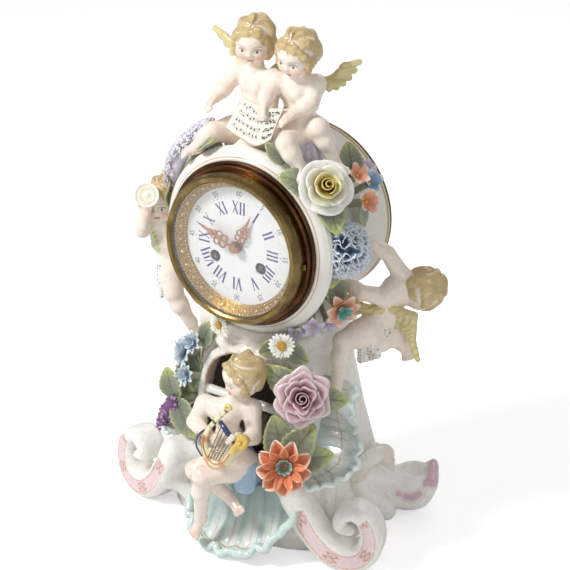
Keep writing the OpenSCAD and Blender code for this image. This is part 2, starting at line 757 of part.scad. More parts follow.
// A shallow cup whose rim is drawn into lobes
function lobes(count, r, dip_share) = [for (i = [0 : count - 1], k = [0 : 3])
  polar(r * (1 - dip_share * pow(1 - k % 4 / 2, 2)), (i + k / 4) * 360 / count)];
module lobed_cup(count, r, dip_share, base_z, t) {
  translate([0, 0, base_z])
    linear_extrude(t, scale = 1.25)
      polygon(lobes(count, r / 1.25, dip_share));
}
module calyx(r, depth) {
  limb([0, 0, 0], r * 0.3, [0, 0, -depth], r * 0.34);
}
module rose(r, depth) {
  t = r * petal_t_share;
  petal_ring(5, r * 0.2, r * 0.95, 0, r * 0.1, 0, t);
  petal_ring(4, r * 0.15, r * 0.65, r * 0.1, r * 0.42, 180 / 5, t);
  ball([0, 0, r * 0.3], r * 0.3);
  calyx(r, depth);
}
module carnation(r, depth) {
  lobed_cup(8, r, 0.25, -r * 0.1, r * 0.3);
  lobed_cup(8, r * 0.78, 0.25, r * 0.1, r * 0.35);
  lobed_cup(6, r * 0.5, 0.3, r * 0.35, r * 0.35);
  calyx(r, depth);
}
module lily(r, depth) {
  t = r * petal_t_share;
  for (i = [0 : 7])
    rotate([0, 0, i * 45])
      hull() {
        knob([r * 0.1, 0, 0], t);
        knob([r * 0.6, r * 0.2, r * 0.12], t);
        knob([r * 0.6, -r * 0.2, r * 0.12], t);
        translate([r * 0.96, 0, r * 0.05])
          cube(t, center = true);
      }
  ball([0, 0, r * 0.1], r * 0.22);
  calyx(r, depth);
}
module blossom(r, depth) {
  lobed_cup(5, r, 0.4, -r * 0.1, r * 0.3);
  ball([0, 0, r * 0.2], r * 0.25);
  calyx(r, depth);
}
module daisy(r, depth) {
  lobed_cup(7, r, 0.3, -r * 0.08, r * 0.18);
  ball([0, 0, r * 0.08], r * 0.4);
  calyx(r, depth);
}
// A leaf: pointed at both ends, folded a little along its rib
module leaf(at, way, up, size) {
  side = cross(way / norm(way), up / norm(up));
  tip = at + way / norm(way) * size;
  middle = at + way / norm(way) * size * 0.55 - up / norm(up) * size * 0.06;
  t = size * 0.045;
  for (s = [1, -1])
    hull() {
      knob(at, t);
      knob(middle, t);
      knob(middle + side * s * size * 0.3 + up / norm(up) * size * 0.06, t);
      knob(tip, t);
    }
}
// Places on the drum are shares of its bead radius from the dial's centre, [x, y, z], and on the
// base shares of its half width, half depth and height; each has the way that the flower faces
function on_drum(s) = [s[0] * drum_bead_r, s[1] * drum_bead_r, axis_h + s[2] * drum_bead_r];
// A place on a flower's stem, behind the flower
function on_stem(at, way, back) = at - way / norm(way) * back;
stem_shares = [0.27, 0.72, 3.4, 2.4, 3.2];
rose_stem = stem_shares[0] * (base_half_w + base_half_d);
lily_stem = stem_shares[1] * base_half_d;
daisy_stem = stem_shares[2] * blossom_r;
base_stem = stem_shares[3] * blossom_r;
drum_stem = stem_shares[4] * blossom_r;
module carved() {
  difference() {
    children();
    drum_envelope(seat_gap);
    base_envelope(seat_gap);
    top_left_figure(seat_gap);
    top_right_figure(seat_gap);
    right_figure(seat_gap);
    left_figure(seat_gap);
    musician_figure(seat_gap);
  }
}
rose_cream_share = [0.85, -0.6, 0.76];
carnation_share = [0.98, -0.4, 0.06];
rose_pink_share = [0.77, -1.16, 0.84];
lily_share = [0.76, -1.5, 0.56];
rose_cream_way = [0.6, -0.55, 0.55];
carnation_way = [0.85, -0.5, 0.1];
rose_pink_way = [0.5, -0.8, 0.35];
lily_way = [0.5, -0.8, 0.3];
module rose_cream() {
  color("beige")
    carved()
      facing(on_drum(rose_cream_share), rose_cream_way)
        rose(rose_r, rose_r);
}
module carnation_blue() {
  color("lightsteelblue")
    carved()
      facing(on_drum(carnation_share), carnation_way)
        carnation(carnation_r, carnation_r);
}
module rose_pink() {
  color("rosybrown")
    carved()
      facing(on_base(rose_pink_share), rose_pink_way)
        rose(rose_r, rose_stem);
}
module lily_orange() {
  color("lightsalmon")
    difference() {
      carved()
        facing(on_base(lily_share), lily_way)
          lily(lily_r, lily_stem);
      front_foot(seat_gap);
    }
}
// Small flowers, each as [place, way, size in blossom radii]
daisies_shares = [[[0.5, -1.06, 1.03], [0.4, -0.9, 0.3], 1.1], [[-0.2, -0.98, 1.02],
  [0, -1, 0.2], 0.9]];
blossoms_left_shares = [[[-0.64, -0.8, 0.8], [-0.6, -0.8, 0.3], 1.1],
  [[-0.55, -0.95, 0.72], [-0.4, -0.9, 0.3], 0.8],
  [[-0.5, -0.9, 0.88], [-0.4, -0.9, 0.3], 0.8]];
bouquet_right_shares = [[[0.93, 0.1, 0.6], [0.8, -0.2, 0.6], 1], [[0.88, -0.06, 0.72],
  [0.7, -0.3, 0.7], 1],
  [[0.98, -0.04, 0.46], [0.9, -0.3, 0.4], 1.1], [[0.85, 0.22, 0.72], [0.7, 0.2, 0.7], 0.8]];
blossoms_right_shares = [[[0.95, -0.38, -0.6], [0.75, -0.5, -0.1], 1.6],
  [[0.74, -0.56, -0.78], [0.6, -0.8, -0.2], 1],
  [[0.6, -0.66, -0.86], [0.5, -0.8, -0.3], 0.9], [[0.82, -0.4, -0.8], [0.7, -0.6, -0.3], 0.8]];
lilac_shares = [[-0.58, -0.5, 1.02], [-0.73, -0.52, 0.91], [-0.86, -0.54, 0.77], [-0.95, -0.56, 0.61],
  [-1, -0.53, 0.46], [-1.04, -0.48, 0.31]];
module base_flowers(table) {
  for (f = table)
    facing(on_base(f[0]), f[1])
      blossom(blossom_r * f[2], base_stem);
}
module drum_flowers(table) {
  for (f = table)
    facing(on_drum(f[0]), f[1])
      blossom(blossom_r * f[2], drum_stem);
}
module daisies() {
  color("gold")
    carved()
      for (f = daisies_shares)
        facing(on_base(f[0]), f[1])
          daisy(blossom_r * f[2], daisy_stem);
}
module blossoms_left() {
  color("lightblue")
    carved()
      base_flowers(blossoms_left_shares);
}
module bouquet_right() {
  color("lightsalmon")
    carved()
      drum_flowers(bouquet_right_shares);
}
module blossoms_right() {
  color("thistle")
    difference() {
      carved()
        drum_flowers(blossoms_right_shares);
      facing(on_drum(carnation_share), carnation_way)
        clearing(carnation_r, carnation_r);
    }
}
// Lilac: a bank of florets that runs down the drum's left shoulder
module lilac_bank(grow) {
  for (s = lilac_shares)
    limb(on_drum(s), blossom_r + grow, on_drum([s[0] * 0.85, s[1], s[2] * 0.85]),
      blossom_r * 0.7 + grow);
}
module lilac_left() {
  color("thistle")
    carved()
      lilac_bank(0);
}
berry_path_share = [[-0.68, -0.96, 0.58], [-0.78, -0.96, 0.5], [-0.87, -0.95, 0.41]];
berry_size_shares = [0.8, 0.85, 0.4];
berry_root_share = [-0.5, -0.8, 0.6];
module berries(grow) {
  chain([for (s = berry_path_share) on_base(s)], [for (k = berry_size_shares) k * blossom_r + grow]);
  limb(on_base(berry_path_share[0]), blossom_r / 2 + grow, on_base(berry_root_share),
    blossom_r / 2 + grow);
}
module berry_cluster() {
  color("mediumorchid")
    difference() {
      carved()
        berries(0);
      mirror([1, 0, 0])
        front_foot(seat_gap);
    }
}
// Leaves as [place, way along the leaf, way that it faces, size in leaf lengths], most on a stem
lily_back = on_stem(on_base(lily_share), lily_way, lily_r * 0.6);
rose_back = on_stem(on_base(rose_pink_share), rose_pink_way, rose_r * 0.6);
berry_top = on_base(berry_path_share[0]);
function behind(place, f) = on_stem(place, f[1], blossom_r * 0.8);
function on_wall(s, z) = let (a = lookup(z * base_top, base_widths), b = lookup(z * base_top, base_depths))
  [s * a, -b * pow(1 - pow(abs(s), squareness), 1 / squareness), z * base_top];
base_leaves = [[lily_back, [-0.3, 0, 1], [0.5, -0.8, 0.3], 1.3],
  [lily_back, [0.5, 0.25, 0.85], [0.5, -0.8, 0.3], 1.35],
  [lily_back, [0.9, 0.5, 0.25], [0.5, -0.8, 0.3], 1.3],
  [rose_back, [-0.8, -0.2, 0.5], [0.4, -0.9, 0.3], 1.2],
  [rose_back, [0.8, 0.45, -0.1], [0.5, -0.8, 0.3], 1.2],
  [behind(on_base(daisies_shares[0][0]), daisies_shares[0]), [-0.8, -0.2, -0.5], [0.4, -0.9, 0.3], 0.8],
  [behind(on_base(daisies_shares[0][0]), daisies_shares[0]), [0.8, 0.2, -0.5], [0.5, -0.9, 0.3], 0.8],
  [behind(on_base(blossoms_left_shares[0][0]), blossoms_left_shares[0]), [-0.1, -0.3, -1],
    [-0.6, -0.8, 0.1], 1.1],
  [behind(on_base(blossoms_left_shares[2][0]), blossoms_left_shares[2]), [0.5, -0.2, 0.9],
    [-0.3, -1, 0.1], 0.8],
  [berry_top, [0.6, -0.3, -0.8], [-0.4, -1, 0.1], 0.9],
  [berry_top, [-0.2, -0.4, 1], [-0.5, -0.8, 0.3], 0.9],
  [on_wall(-0.62, 0.55), [0.1, -0.35, -1], [-0.5, -1, 0.1], 1]];
rose_side = on_stem(on_drum(rose_cream_share), rose_cream_way, rose_r * 0.4);
carnation_side = on_stem(on_drum(carnation_share), carnation_way, carnation_r * 0.4);
drum_leaves = [[on_drum([0.42, -0.68, 0.94]), [-0.5, -0.2, 0.6], [0.2, -0.6, 0.9], 0.7],
  [rose_side, [-0.6, -0.62, 0.4], [0.4, -0.6, 0.8], 1.2],
  [rose_side, [0.65, -0.3, -0.75], [0.8, -0.5, 0.3], 1.2],
  [carnation_side, [0.1, -0.5, 0.8], [0.9, -0.4, 0.1], 1.1],
  [carnation_side, [0.1, -0.35, -0.9], [0.9, -0.4, 0], 1.1],
  [behind(on_drum(bouquet_right_shares[1][0]), bouquet_right_shares[1]), [-0.3, 0.3, 0.8],
    [0.6, -0.4, 0.7], 1],
  [behind(on_drum(blossoms_right_shares[0][0]), blossoms_right_shares[0]), [0, -0.2, 1],
    [0.9, -0.4, 0], 1],
  [behind(on_drum(bouquet_right_shares[2][0]), bouquet_right_shares[2]), [0.1, 0.4, -1],
    [1, 0, 0.2], 0.9],
  [on_drum([-0.6, -0.68, 0.86]), [0.6, -0.2, 0.5], [-0.4, -0.6, 0.8], 0.7],
  [on_drum([-1, -0.62, 0.4]), [-0.2, -0.1, -1], [-0.9, -0.6, 0.1], 0.8]];
module leaves_base() {
  color("darkseagreen")
    difference() {
      carved()
        for (f = base_leaves)
          leaf(f[0], f[1], f[2], leaf_l * f[3]);
      facing(on_base(rose_pink_share), rose_pink_way)
        clearing(rose_r, rose_stem);
      facing(on_base(lily_share), lily_way)
        clearing(lily_r, lily_stem);
      for (f = daisies_shares)
        facing(on_base(f[0]), f[1])
          clearing(blossom_r * f[2], daisy_stem);
      for (f = blossoms_left_shares)
        facing(on_base(f[0]), f[1])
          clearing(blossom_r * f[2], base_stem);
      berries(seat_gap);
      front_foot(seat_gap);
      mirror([1, 0, 0])
        front_foot(seat_gap);
      for (side = [-1, 1])
        frill(side, seat_gap);
    }
}
module leaves_drum() {
  color("darkseagreen")
    difference() {
      carved()
        for (f = drum_leaves)
          leaf(f[0], f[1], f[2], leaf_l * f[3]);
      facing(on_drum(rose_cream_share), rose_cream_way)
        clearing(rose_r, rose_r);
      facing(on_drum(carnation_share), carnation_way)
        clearing(carnation_r, carnation_r);
      for (f = concat(bouquet_right_shares, blossoms_right_shares))
        facing(on_drum(f[0]), f[1])
          clearing(blossom_r * f[2], drum_stem);
      lilac_bank(seat_gap);
    }
}
// The room that a flower and its stem take among the leaves
module clearing(r, depth) {
  translate([0, 0, -r * 0.12])
    cylinder(r = r * 1.12, h = r, $fn = slice_fn);
  limb([0, 0, 0], r * 0.3 + seat_gap, [0, 0, -depth], r * 0.34 + seat_gap);
}

// Brass case work
hinge_x = hinge_pin_r - band_r;
hinge_y = flange_front_y - hinge_stand;
door_hinge_x = -door_r - 2 * knuckle_r;
door_hinge_y = ring_y + ring_t + knuckle_r + door_gap / 2;
spigot_r = bore_r - seat_gap;
sight_r = bezel_r - bezel_wall - sight_gap;
glass_r = bezel_r - glass_rebate - glass_gap;
glass_front_y = bezel_front_y + glass_seat + glass_gap;
glass_rear_y = glass_front_y + glass_t;
strap_reach = bore_r - strap_inset;
strap_front_y = flange_front_y + lip_depth + seat_gap;
module strap_places() {
  translate([0, 0, axis_h])
    for (a = strap_bearings)
      rotate([0, -a, 0])
        translate([strap_reach, 0, 0])
          children();
}
// A round bar or hole along Y about the strap's own line
module strap_bar(r, front_y, rear_y) {
  translate([0, rear_y, 0])
    rotate([90, 0, 0])
      cylinder(r = r, h = rear_y - front_y);
}
// The two fixed knuckles of a hinge on a vertical pin, with the pin's hole
module knuckle_pair(x, y, root_y) {
  for (s = [-1, 1])
    translate([x, 0, axis_h + s * (knuckle_l + 2 * run_gap) - knuckle_l / 2])
      difference() {
        union() {
          translate([0, y, 0])
            cylinder(r = knuckle_r, h = knuckle_l);
          translate([-knuckle_r, min(y, root_y), 0])
            cube([2 * knuckle_r, abs(root_y - y), knuckle_l]);
        }
        pin_hole(y);
      }
}
module pin_hole(y) {
  translate([0, y, -knuckle_l])
    cylinder(r = hinge_pin_r + run_gap, h = 3 * knuckle_l);
}
module bezel_flange() {
  lip_rear_y = flange_front_y + lip_depth;
  plate_y = flange_rear_y - flange_plate_t;
  color("saddlebrown") {
    turned([[lip_r, flange_front_y], [band_r - edge, flange_front_y],
      [band_r, flange_front_y + edge],
      [band_r, plate_y], [flange_r - edge, plate_y], [flange_r, plate_y + edge],
      [flange_r, flange_rear_y], [spigot_r, flange_rear_y], [spigot_r, face_y + spigot_l],
      [spigot_r - spigot_t, face_y + spigot_l], [spigot_r - spigot_t, lip_rear_y],
        [lip_r, lip_rear_y]]);
    knuckle_pair(hinge_x, hinge_y, flange_front_y + edge);
  }
}
module sight_ring() {
  color("goldenrod")
    turned([[dial_r, flange_front_y], [dial_r + edge, flange_front_y - edge],
      [sight_r - edge, flange_front_y - sight_t], [sight_r, flange_front_y - sight_t],
      [sight_r, flange_front_y]]);
}
module dial() {
  rim = dial_r + dial_edge;
  color("white")
    difference() {
      union() {
        turned([[0, dial_front_y], [rim - fine, dial_front_y], [rim, dial_front_y + fine],
          [rim, dial_rear_y], [0, dial_rear_y]]);
        for (a = dial_foot_turns)
          bar(polar(plate_r * dial_feet_share, a), dial_foot_r,
            dial_rear_y, plate_back_y);
      }
      bar([0, 0], dial_hole_r, dial_front_y - cut, dial_rear_y + cut);
      for (s = [-1, 1])
        bar([s * winding_at[0], winding_at[1]], winding_hole_r,
          dial_front_y - cut, dial_rear_y + cut);
    }
}
module bezel_ring() {
  color("darkgoldenrod")
    difference() {
      union() {
        turned([[bezel_r - bezel_wall, bezel_rear_y], [bezel_r, bezel_rear_y],
          [bezel_r, bezel_rear_y - bezel_depth * 0.4],
          [bezel_r - edge / 2, bezel_rear_y - bezel_depth * 0.75],
          [bezel_r - 2 * edge, bezel_front_y], [bezel_r - bezel_wall, bezel_front_y],
          [bezel_r - bezel_lip, bezel_front_y + glass_seat],
          [bezel_r - glass_rebate, bezel_front_y + glass_seat],
          [bezel_r - glass_rebate, glass_rear_y + glass_gap],
          [bezel_r - bezel_wall, glass_rear_y + glass_gap]]);
        translate([hinge_x, hinge_y, axis_h - knuckle_l / 2])
          cylinder(r = knuckle_r, h = knuckle_l);
        translate([hinge_x, hinge_y - knuckle_r, axis_h - knuckle_l / 2])
          cube([edge - hinge_x - bezel_r, knuckle_r, knuckle_l]);
        // The thumb catch that opens the bezel
        translate([bezel_r - edge, bezel_rear_y - 1.5 * catch_w, axis_h - catch_w])
          cube([1.5 * catch_w, catch_w, 2 * catch_w]);
      }
      translate([hinge_x, 0, axis_h])
        pin_hole(hinge_y);
    }
}
module bezel_glass() {
  dome_r = glass_r - bezel_wall;
  front = [for (i = [0 : 6]) [dome_r * i / 6, glass_front_y - glass_rise * (1 - (i / 6) ^ 2)]];
  rear = [for (i = [6 : -1 : 0]) [dome_r * i / 6, glass_rear_y - glass_rise * (1 - (i / 6) ^ 2)]];
  color("lightcyan", 0.4)
    turned(concat(front, [[glass_r, glass_front_y], [glass_r, glass_rear_y]], rear));
}
module hinge_pins() {
  reach = 1.5 * knuckle_l + 2 * run_gap;
  color("goldenrod")
    for (p = [[hinge_x, hinge_y], [door_hinge_x, door_hinge_y]])
      translate([p[0], p[1], axis_h - reach])
        cylinder(r = hinge_pin_r, h = 2 * reach);
}
module rear_ring() {
  rear_y = ring_y + ring_t;
  inner = spigot_r - spigot_t;
  color("saddlebrown") {
    difference() {
      turned([[ring_lip_r, ring_y], [inner, ring_y], [inner, ring_y - spigot_l],
        [spigot_r, ring_y - spigot_l], [spigot_r, ring_y], [drum_rim_r, ring_y],
        [drum_rim_r + fine, ring_y + ring_t / 2], [drum_rim_r, rear_y], [ring_lip_r, rear_y]]);
      strap_places() {
        strap_bar(screw_r + fine, ring_y - cut, rear_y + cut);
        strap_bar(screw_head_r + run_gap, rear_y - screw_head_t, rear_y + cut);
      }
    }
    knuckle_pair(door_hinge_x, door_hinge_y, rear_y - edge);
  }
}
module rear_door() {
  rear_y = door_y + door_t;
  color("darkgoldenrod")
    difference() {
      union() {
        turned([[0, door_y], [door_r, door_y], [door_r, rear_y], [door_r - 2 * edge, rear_y],
          [door_r - 4 * edge, rear_y + edge], [door_r - 8 * edge, rear_y + edge],
          [door_r - 10 * edge, rear_y], [0, rear_y]]);
        translate([door_hinge_x, door_hinge_y, axis_h - knuckle_l / 2])
          cylinder(r = knuckle_r, h = knuckle_l);
        translate([door_hinge_x, door_y, axis_h - knuckle_l / 2])
          cube([edge - door_hinge_x - door_r, door_t, knuckle_l]);
        // The turned knob
        translate([door_r - 6 * edge, rear_y, axis_h])
          rotate([-90, 0, 0])
            rotate_extrude()
              polygon([[0, 0], [knob_r / 2, 0], [knob_r / 2, knob_r],
                [knob_r, 2 * knob_r],
                [knob_r, 3 * knob_r], [knob_r / 2, 3.5 * knob_r], [0, 3.5 * knob_r]]);
      }
      translate([door_hinge_x, 0, axis_h])
        pin_hole(door_hinge_y);
    }
}
// Two straps draw the flange and the rear ring together on the drum
module case_straps() {
  rear_y = ring_y - seat_gap;
  color("darkkhaki")
    strap_places()
      difference() {
        translate([-strap_t / 2, strap_front_y, -strap_w / 2])
          cube([strap_t, rear_y - strap_front_y, strap_w]);
        strap_bar(screw_r + run_gap, ring_y - screw_l, ring_y);
      }
}
module strap_screws() {
  top = ring_y + ring_t;
  color("steelblue")
    strap_places()
      difference() {
        union() {
          strap_bar(screw_r, ring_y - screw_l + run_gap, top - screw_head_t / 2);
          strap_bar(screw_head_r, top - screw_head_t, top);
        }
        translate([-screw_r / 4, top - screw_head_t / 2, -2 * screw_head_r])
          cube([screw_r / 2, screw_head_t, 4 * screw_head_r]);
      }
}

// Movement plates
hub_r = 1.6 * arbor_r;
module front_plate() {
  color("goldenrod")
    difference() {
      union() {
        plate(front_plate_y, plate_back_y) {
          circle(r = plate_r);
          for (a = ear_bearings)
            hull_ear(a);
        }
        for (a = ear_bearings)
          bar(polar(ear_reach, a), post_r, strap_front_y, front_plate_y);
        bar(minute_at, stud_r, front_plate_y - stud_l, front_plate_y);
      }
      plate_hole([0, 0], hub_r + run_gap);
      for (p = [inter_at, third_at, escape_at, pallet_at, hammer_at])
        plate_hole(p, pivot_r + run_gap);
      for (s = [-1, 1])
        plate_hole([s * winding_at[0], winding_at[1]], winding_r + run_gap);
      for (a = dial_foot_turns)
        plate_hole(polar(plate_r * dial_feet_share, a), dial_foot_r + run_gap);
      for (s = pillar_shares)
        plate_hole(s * plate_r, tenon_r + run_gap);
    }
}
module hull_ear(a) {
  rotate(a) {
    translate([0, -ear_r])
      square([ear_reach, 2 * ear_r]);
    translate([ear_reach, 0])
      circle(r = ear_r);
  }
}
module plate_hole(at, r) {
  bar(at, r, front_plate_y - cut, plate_back_y + cut);
}
module back_hole(at, r) {
  bar(at, r, back_plate_y - cut, back_plate_rear_y + cut);
}
module back_plate() {
  color("gold")
    difference() {
      union() {
        plate(back_plate_y, back_plate_rear_y)
          circle(r = plate_r);
        for (s = pillar_shares) {
          bar(s * plate_r, pillar_r, plate_back_y, back_plate_y + edge);
          bar(s * plate_r, tenon_r, front_plate_y, plate_back_y + edge);
        }
      }
      for (p = [[0, 0], inter_at, third_at, escape_at, hammer_at])
        back_hole(p, pivot_r + run_gap);
      back_hole(pallet_at, 3 * arbor_r);
      for (s = [-1, 1])
        back_hole([s * winding_at[0], winding_at[1]], tenon_r + run_gap);
    }
}

// Toothed wheels. A tooth has its depth below and its height above the pitch circle in modules,
// then its half widths at the foot, shoulder and tip as shares of the pitch
tooth_shares = [1.3, 0.9, 0.24, 0.19, 0.04];
leaf_shares = [1.6, 0.5, 0.15, 0.15, 0.08];
function tooth_ring(n, m, s) = let (r = n * m / 2) [for (i = [0 : n - 1])
  each [polar(r - s[0] * m, (i - s[2]) * 360 / n), polar(r + s[1] * m / 3, (i - s[3]) * 360 / n),
  polar(r + s[1] * m, (i - s[4]) * 360 / n), polar(r + s[1] * m, (i + s[4]) * 360 / n),
  polar(r + s[1] * m / 3, (i + s[3]) * 360 / n), polar(r - s[0] * m, (i + s[2]) * 360 / n)]];
rim_share = 0.84;
hub_share = 0.22;
spoke_share = 0.1;
spokes = 4;
// What a wheel of radius r loses between its rim, its hub and its spokes
module crossings(r) {
  difference() {
    circle(r = r * rim_share);
    circle(r = r * hub_share);
    for (i = [0 : spokes - 1])
      rotate(i * 360 / spokes + 20)
        translate([0, -r * spoke_share / 2])
          square([r, r * spoke_share]);
  }
}
// A wheel at its arbor, with a tooth on the line towards its mate
module wheel(at, n, m, mate, front_y, t) {
  plate(front_y, front_y + t)
    translate(at)
      rotate(toward(at, mate))
        difference() {
          polygon(tooth_ring(n, m, tooth_shares));
          crossings(n * m / 2);
        }
}
// A pinion at its arbor, with a gap on the line towards its mate
module pinion(at, n, m, mate, front_y, rear_y) {
  plate(front_y, rear_y)
    translate(at)
      rotate(toward(at, mate) + 180 / n)
        polygon(tooth_ring(n, m, leaf_shares));
}
module arbor(at) {
  bar(at, arbor_r, arbor_front_y, arbor_rear_y);
  bar(at, pivot_r, arbor_front_y - plate_t, arbor_rear_y + plate_t);
}
arbor_front_y = plate_back_y + shake;
arbor_rear_y = back_plate_y - shake;
great_y = plate_back_y + plate_t;
barrel_y = great_y + 1.5 * wheel_t;
barrel_rear_y = barrel_y + barrel_l;
inter_y = barrel_rear_y + 1.5 * wheel_t;
centre_y = inter_y + 3 * wheel_t;
third_y = centre_y - 7 * wheel_t;
escape_y = third_y - 4 * wheel_t;
overlap = 0.6 * wheel_t;
module barrel(at, mate) {
  color("gold")
    difference() {
      union() {
        plate(great_y, barrel_y)
          translate(at)
            rotate(toward(at, mate))
              polygon(tooth_ring(great_teeth, great_module, tooth_shares));
        bar(at, barrel_r, barrel_y - overlap, barrel_rear_y);
      }
      bar(at, barrel_r - web_gap, barrel_y + web_gap, barrel_rear_y - web_gap);
      bar(at, winding_r + run_gap, great_y - cut, barrel_rear_y + cut);
    }
}
module going_barrel() { barrel(winding_at, inter_at); }
module strike_barrel() { barrel([-winding_at[0], winding_at[1]], [0, 0]); }
module winding_arbor(at) {
  color("silver") {
    bar(at, winding_r, front_plate_y - winding_r, barrel_rear_y + web_gap);
    bar(at, tenon_r, barrel_rear_y, back_plate_rear_y);
    plate(dial_front_y + fine, front_plate_y - winding_r)
      translate(at)
        square(square_w, center = true);
  }
}
module winding_arbor_right() { winding_arbor(winding_at); }
module winding_arbor_left() { winding_arbor([-winding_at[0], winding_at[1]]); }
module intermediate_wheel() {
  color("gold") {
    arbor(inter_at);
    pinion(inter_at, pinion_leaves, great_module, winding_at, great_y - overlap,
      barrel_y + overlap);
    wheel(inter_at, inter_teeth, inter_module, [0, 0], inter_y, wheel_t);
  }
}
module centre_wheel() {
  color("gold") {
    bar([0, 0], hub_r, hand_top_y, arbor_rear_y);
    bar([0, 0], pivot_r, arbor_rear_y - overlap, arbor_rear_y + plate_t);
    pinion([0, 0], pinion_leaves, inter_module, inter_at,
      inter_y - overlap, inter_y + wheel_t + overlap);
    wheel([0, 0], centre_teeth, centre_module, third_at, centre_y, wheel_t);
  }
}
module third_wheel() {
  color("gold") {
    arbor(third_at);
    pinion(third_at, leaf_count, centre_module, [0, 0],
      centre_y - overlap, centre_y + wheel_t + overlap);
    wheel(third_at, third_teeth, third_module, escape_at, third_y, wheel_t);
  }
}
// The escape wheel has slim teeth that lean into their turn
module escape_wheel() {
  color("gold") {
    arbor(escape_at);
    pinion(escape_at, leaf_count, third_module, third_at,
      third_y - overlap, third_y + wheel_t + overlap);
    plate(escape_y, escape_y + wheel_t)
      translate(escape_at)
        difference() {
          polygon([for (i = [0 : escape_teeth - 1])
            each [polar(escape_r * 0.8, i * 360 / escape_teeth),
            polar(escape_r, (i + 0.1) * 360 / escape_teeth),
            polar(escape_r * 0.8, (i + 0.55) * 360 / escape_teeth)]]);
          crossings(escape_r * 0.8);
        }
  }
}
// The anchor stands astride the escape wheel, and its crutch leads the pendulum
fork_gap = rod_r + seat_gap;
crutch_y = back_plate_rear_y + crutch_t;
crutch_rear_y = crutch_y + crutch_t;
cock_y = crutch_rear_y + cock_t;
cock_rear_y = cock_y + cock_t;
anchor_shares = [[0.1, 0.1], [0.9, -0.3], [0.97, -0.62], [0.8, -0.45], [0.1, -0.04]];
module pallets() {
  reach = 1.2 * escape_r;
  color("silver") {
    bar(pallet_at, arbor_r, arbor_front_y, crutch_rear_y);
    bar(pallet_at, pivot_r, arbor_front_y - plate_t, cock_y + cock_t / 2);
    plate(escape_y, escape_y + wheel_t)
      translate(pallet_at) {
        circle(r = 2 * arbor_r);
        polygon(concat([for (p = anchor_shares) p * reach],
          [for (i = [len(anchor_shares) - 1 : -1 : 0])
            [-anchor_shares[i][0], anchor_shares[i][1]] * reach]));
      }
    plate(crutch_y, crutch_rear_y)
      translate(pallet_at) {
        circle(r = 2 * arbor_r);
        translate([-rod_r, -crutch_l])
          square([2 * rod_r, crutch_l]);
        translate([-fork_gap - rod_r, -crutch_l])
          square([2 * (fork_gap + rod_r), 2 * rod_r]);
      }
    for (s = [-1, 1])
      plate(crutch_y + crutch_t / 2, pendulum_y + 2 * rod_r)
        translate(pallet_at + [s * (fork_gap + rod_r / 2) - rod_r / 2, -crutch_l])
          square([rod_r, 2 * rod_r]);
  }
}
// The back cock carries the pallet arbor and, behind it, the pendulum
module suspension_cock() {
  pin_end_y = pendulum_y + 2 * rod_r;
  color("gold")
    difference() {
      union() {
        plate(cock_y, cock_rear_y)
          translate(pallet_at - [cock_w / 2, cock_foot])
            square([cock_w, 2 * cock_foot]);
        for (s = [-1, 1])
          plate(back_plate_rear_y, cock_rear_y)
            translate(pallet_at + [s * (cock_w - cock_foot) / 2 - cock_foot / 2,
              -cock_foot])
              square([cock_foot, 2 * cock_foot]);
        bar(pallet_at, hinge_pin_r, cock_rear_y - cock_t / 4, pin_end_y);
        bar(pallet_at, 2 * hinge_pin_r, pin_end_y, pin_end_y + hinge_pin_r);
      }
      bar(pallet_at, pivot_r + run_gap, cock_y - cut, cock_rear_y - cock_t / 4);
    }
}
module pendulum() {
  eye_z = axis_h + pallet_at[1];
  bob_z = eye_z - pendulum_l;
  color("goldenrod")
    difference() {
      union() {
        bar(pallet_at, eye_r, pendulum_y - eye_t / 2, pendulum_y + eye_t / 2);
        translate([0, pendulum_y, bob_z - bob_r - 4 * rod_r])
          cylinder(r = rod_r, h = pendulum_l + bob_r + 4 * rod_r - eye_r / 2, $fn = slice_fn);
        translate([0, pendulum_y, bob_z])
          rotate([-90, 0, 0])
            rotate_extrude($fn = 2 * slice_fn)
              polygon([[0, -bob_t / 2], [bob_r * 0.7, -bob_t / 2], [bob_r, -bob_t / 8],
                [bob_r, bob_t / 8], [bob_r * 0.7, bob_t / 2], [0, bob_t / 2]]);
        // The rating nut
        translate([0, pendulum_y, bob_z - bob_r - 3 * rod_r])
          cylinder(r = 2 * rod_r, h = 2 * rod_r, $fn = slice_fn);
      }
      bar(pallet_at, hinge_pin_r + run_gap, pendulum_y - bob_t, pendulum_y + bob_t);
    }
}

// Motion work and hands
minute_work_y = front_plate_y - 1.5 * motion_t;
hour_work_y = minute_work_y - 2 * motion_t;
cannon_r = 2.5 * arbor_r;
hour_pipe_r = cannon_r + motion_t;
hour_hand_y = dial_front_y - hand_rise;
minute_hand_y = hour_hand_y - hand_rise;
cannon_front_y = minute_hand_y - hand_t;
hand_top_y = minute_hand_y - 3 * hand_t;
module cannon_pinion() {
  color("gold")
    difference() {
      union() {
        pinion([0, 0], cannon_teeth, motion_module, minute_at,
          minute_work_y, minute_work_y + motion_t);
        bar([0, 0], cannon_r, cannon_front_y, front_plate_y - shake);
      }
      bar([0, 0], hub_r + run_gap / 2, cannon_front_y - cut, front_plate_y);
    }
}
module minute_wheel() {
  color("gold")
    difference() {
      union() {
        wheel(minute_at, minute_teeth, motion_module, [0, 0], minute_work_y, motion_t);
        pinion(minute_at, pinion_leaves, hour_module, [0, 0], hour_work_y - shake,
          minute_work_y + motion_t / 2);
      }
      bar(minute_at, stud_r + run_gap, hour_work_y - cut, front_plate_y);
    }
}
module hour_wheel() {
  color("gold")
    difference() {
      union() {
        wheel([0, 0], hour_teeth, hour_module, minute_at, hour_work_y, motion_t);
        bar([0, 0], hour_pipe_r, hour_hand_y, hour_work_y + motion_t);
      }
      bar([0, 0], cannon_r + 2 * run_gap, hour_hand_y - cut, hour_work_y + motion_t + cut);
    }
}
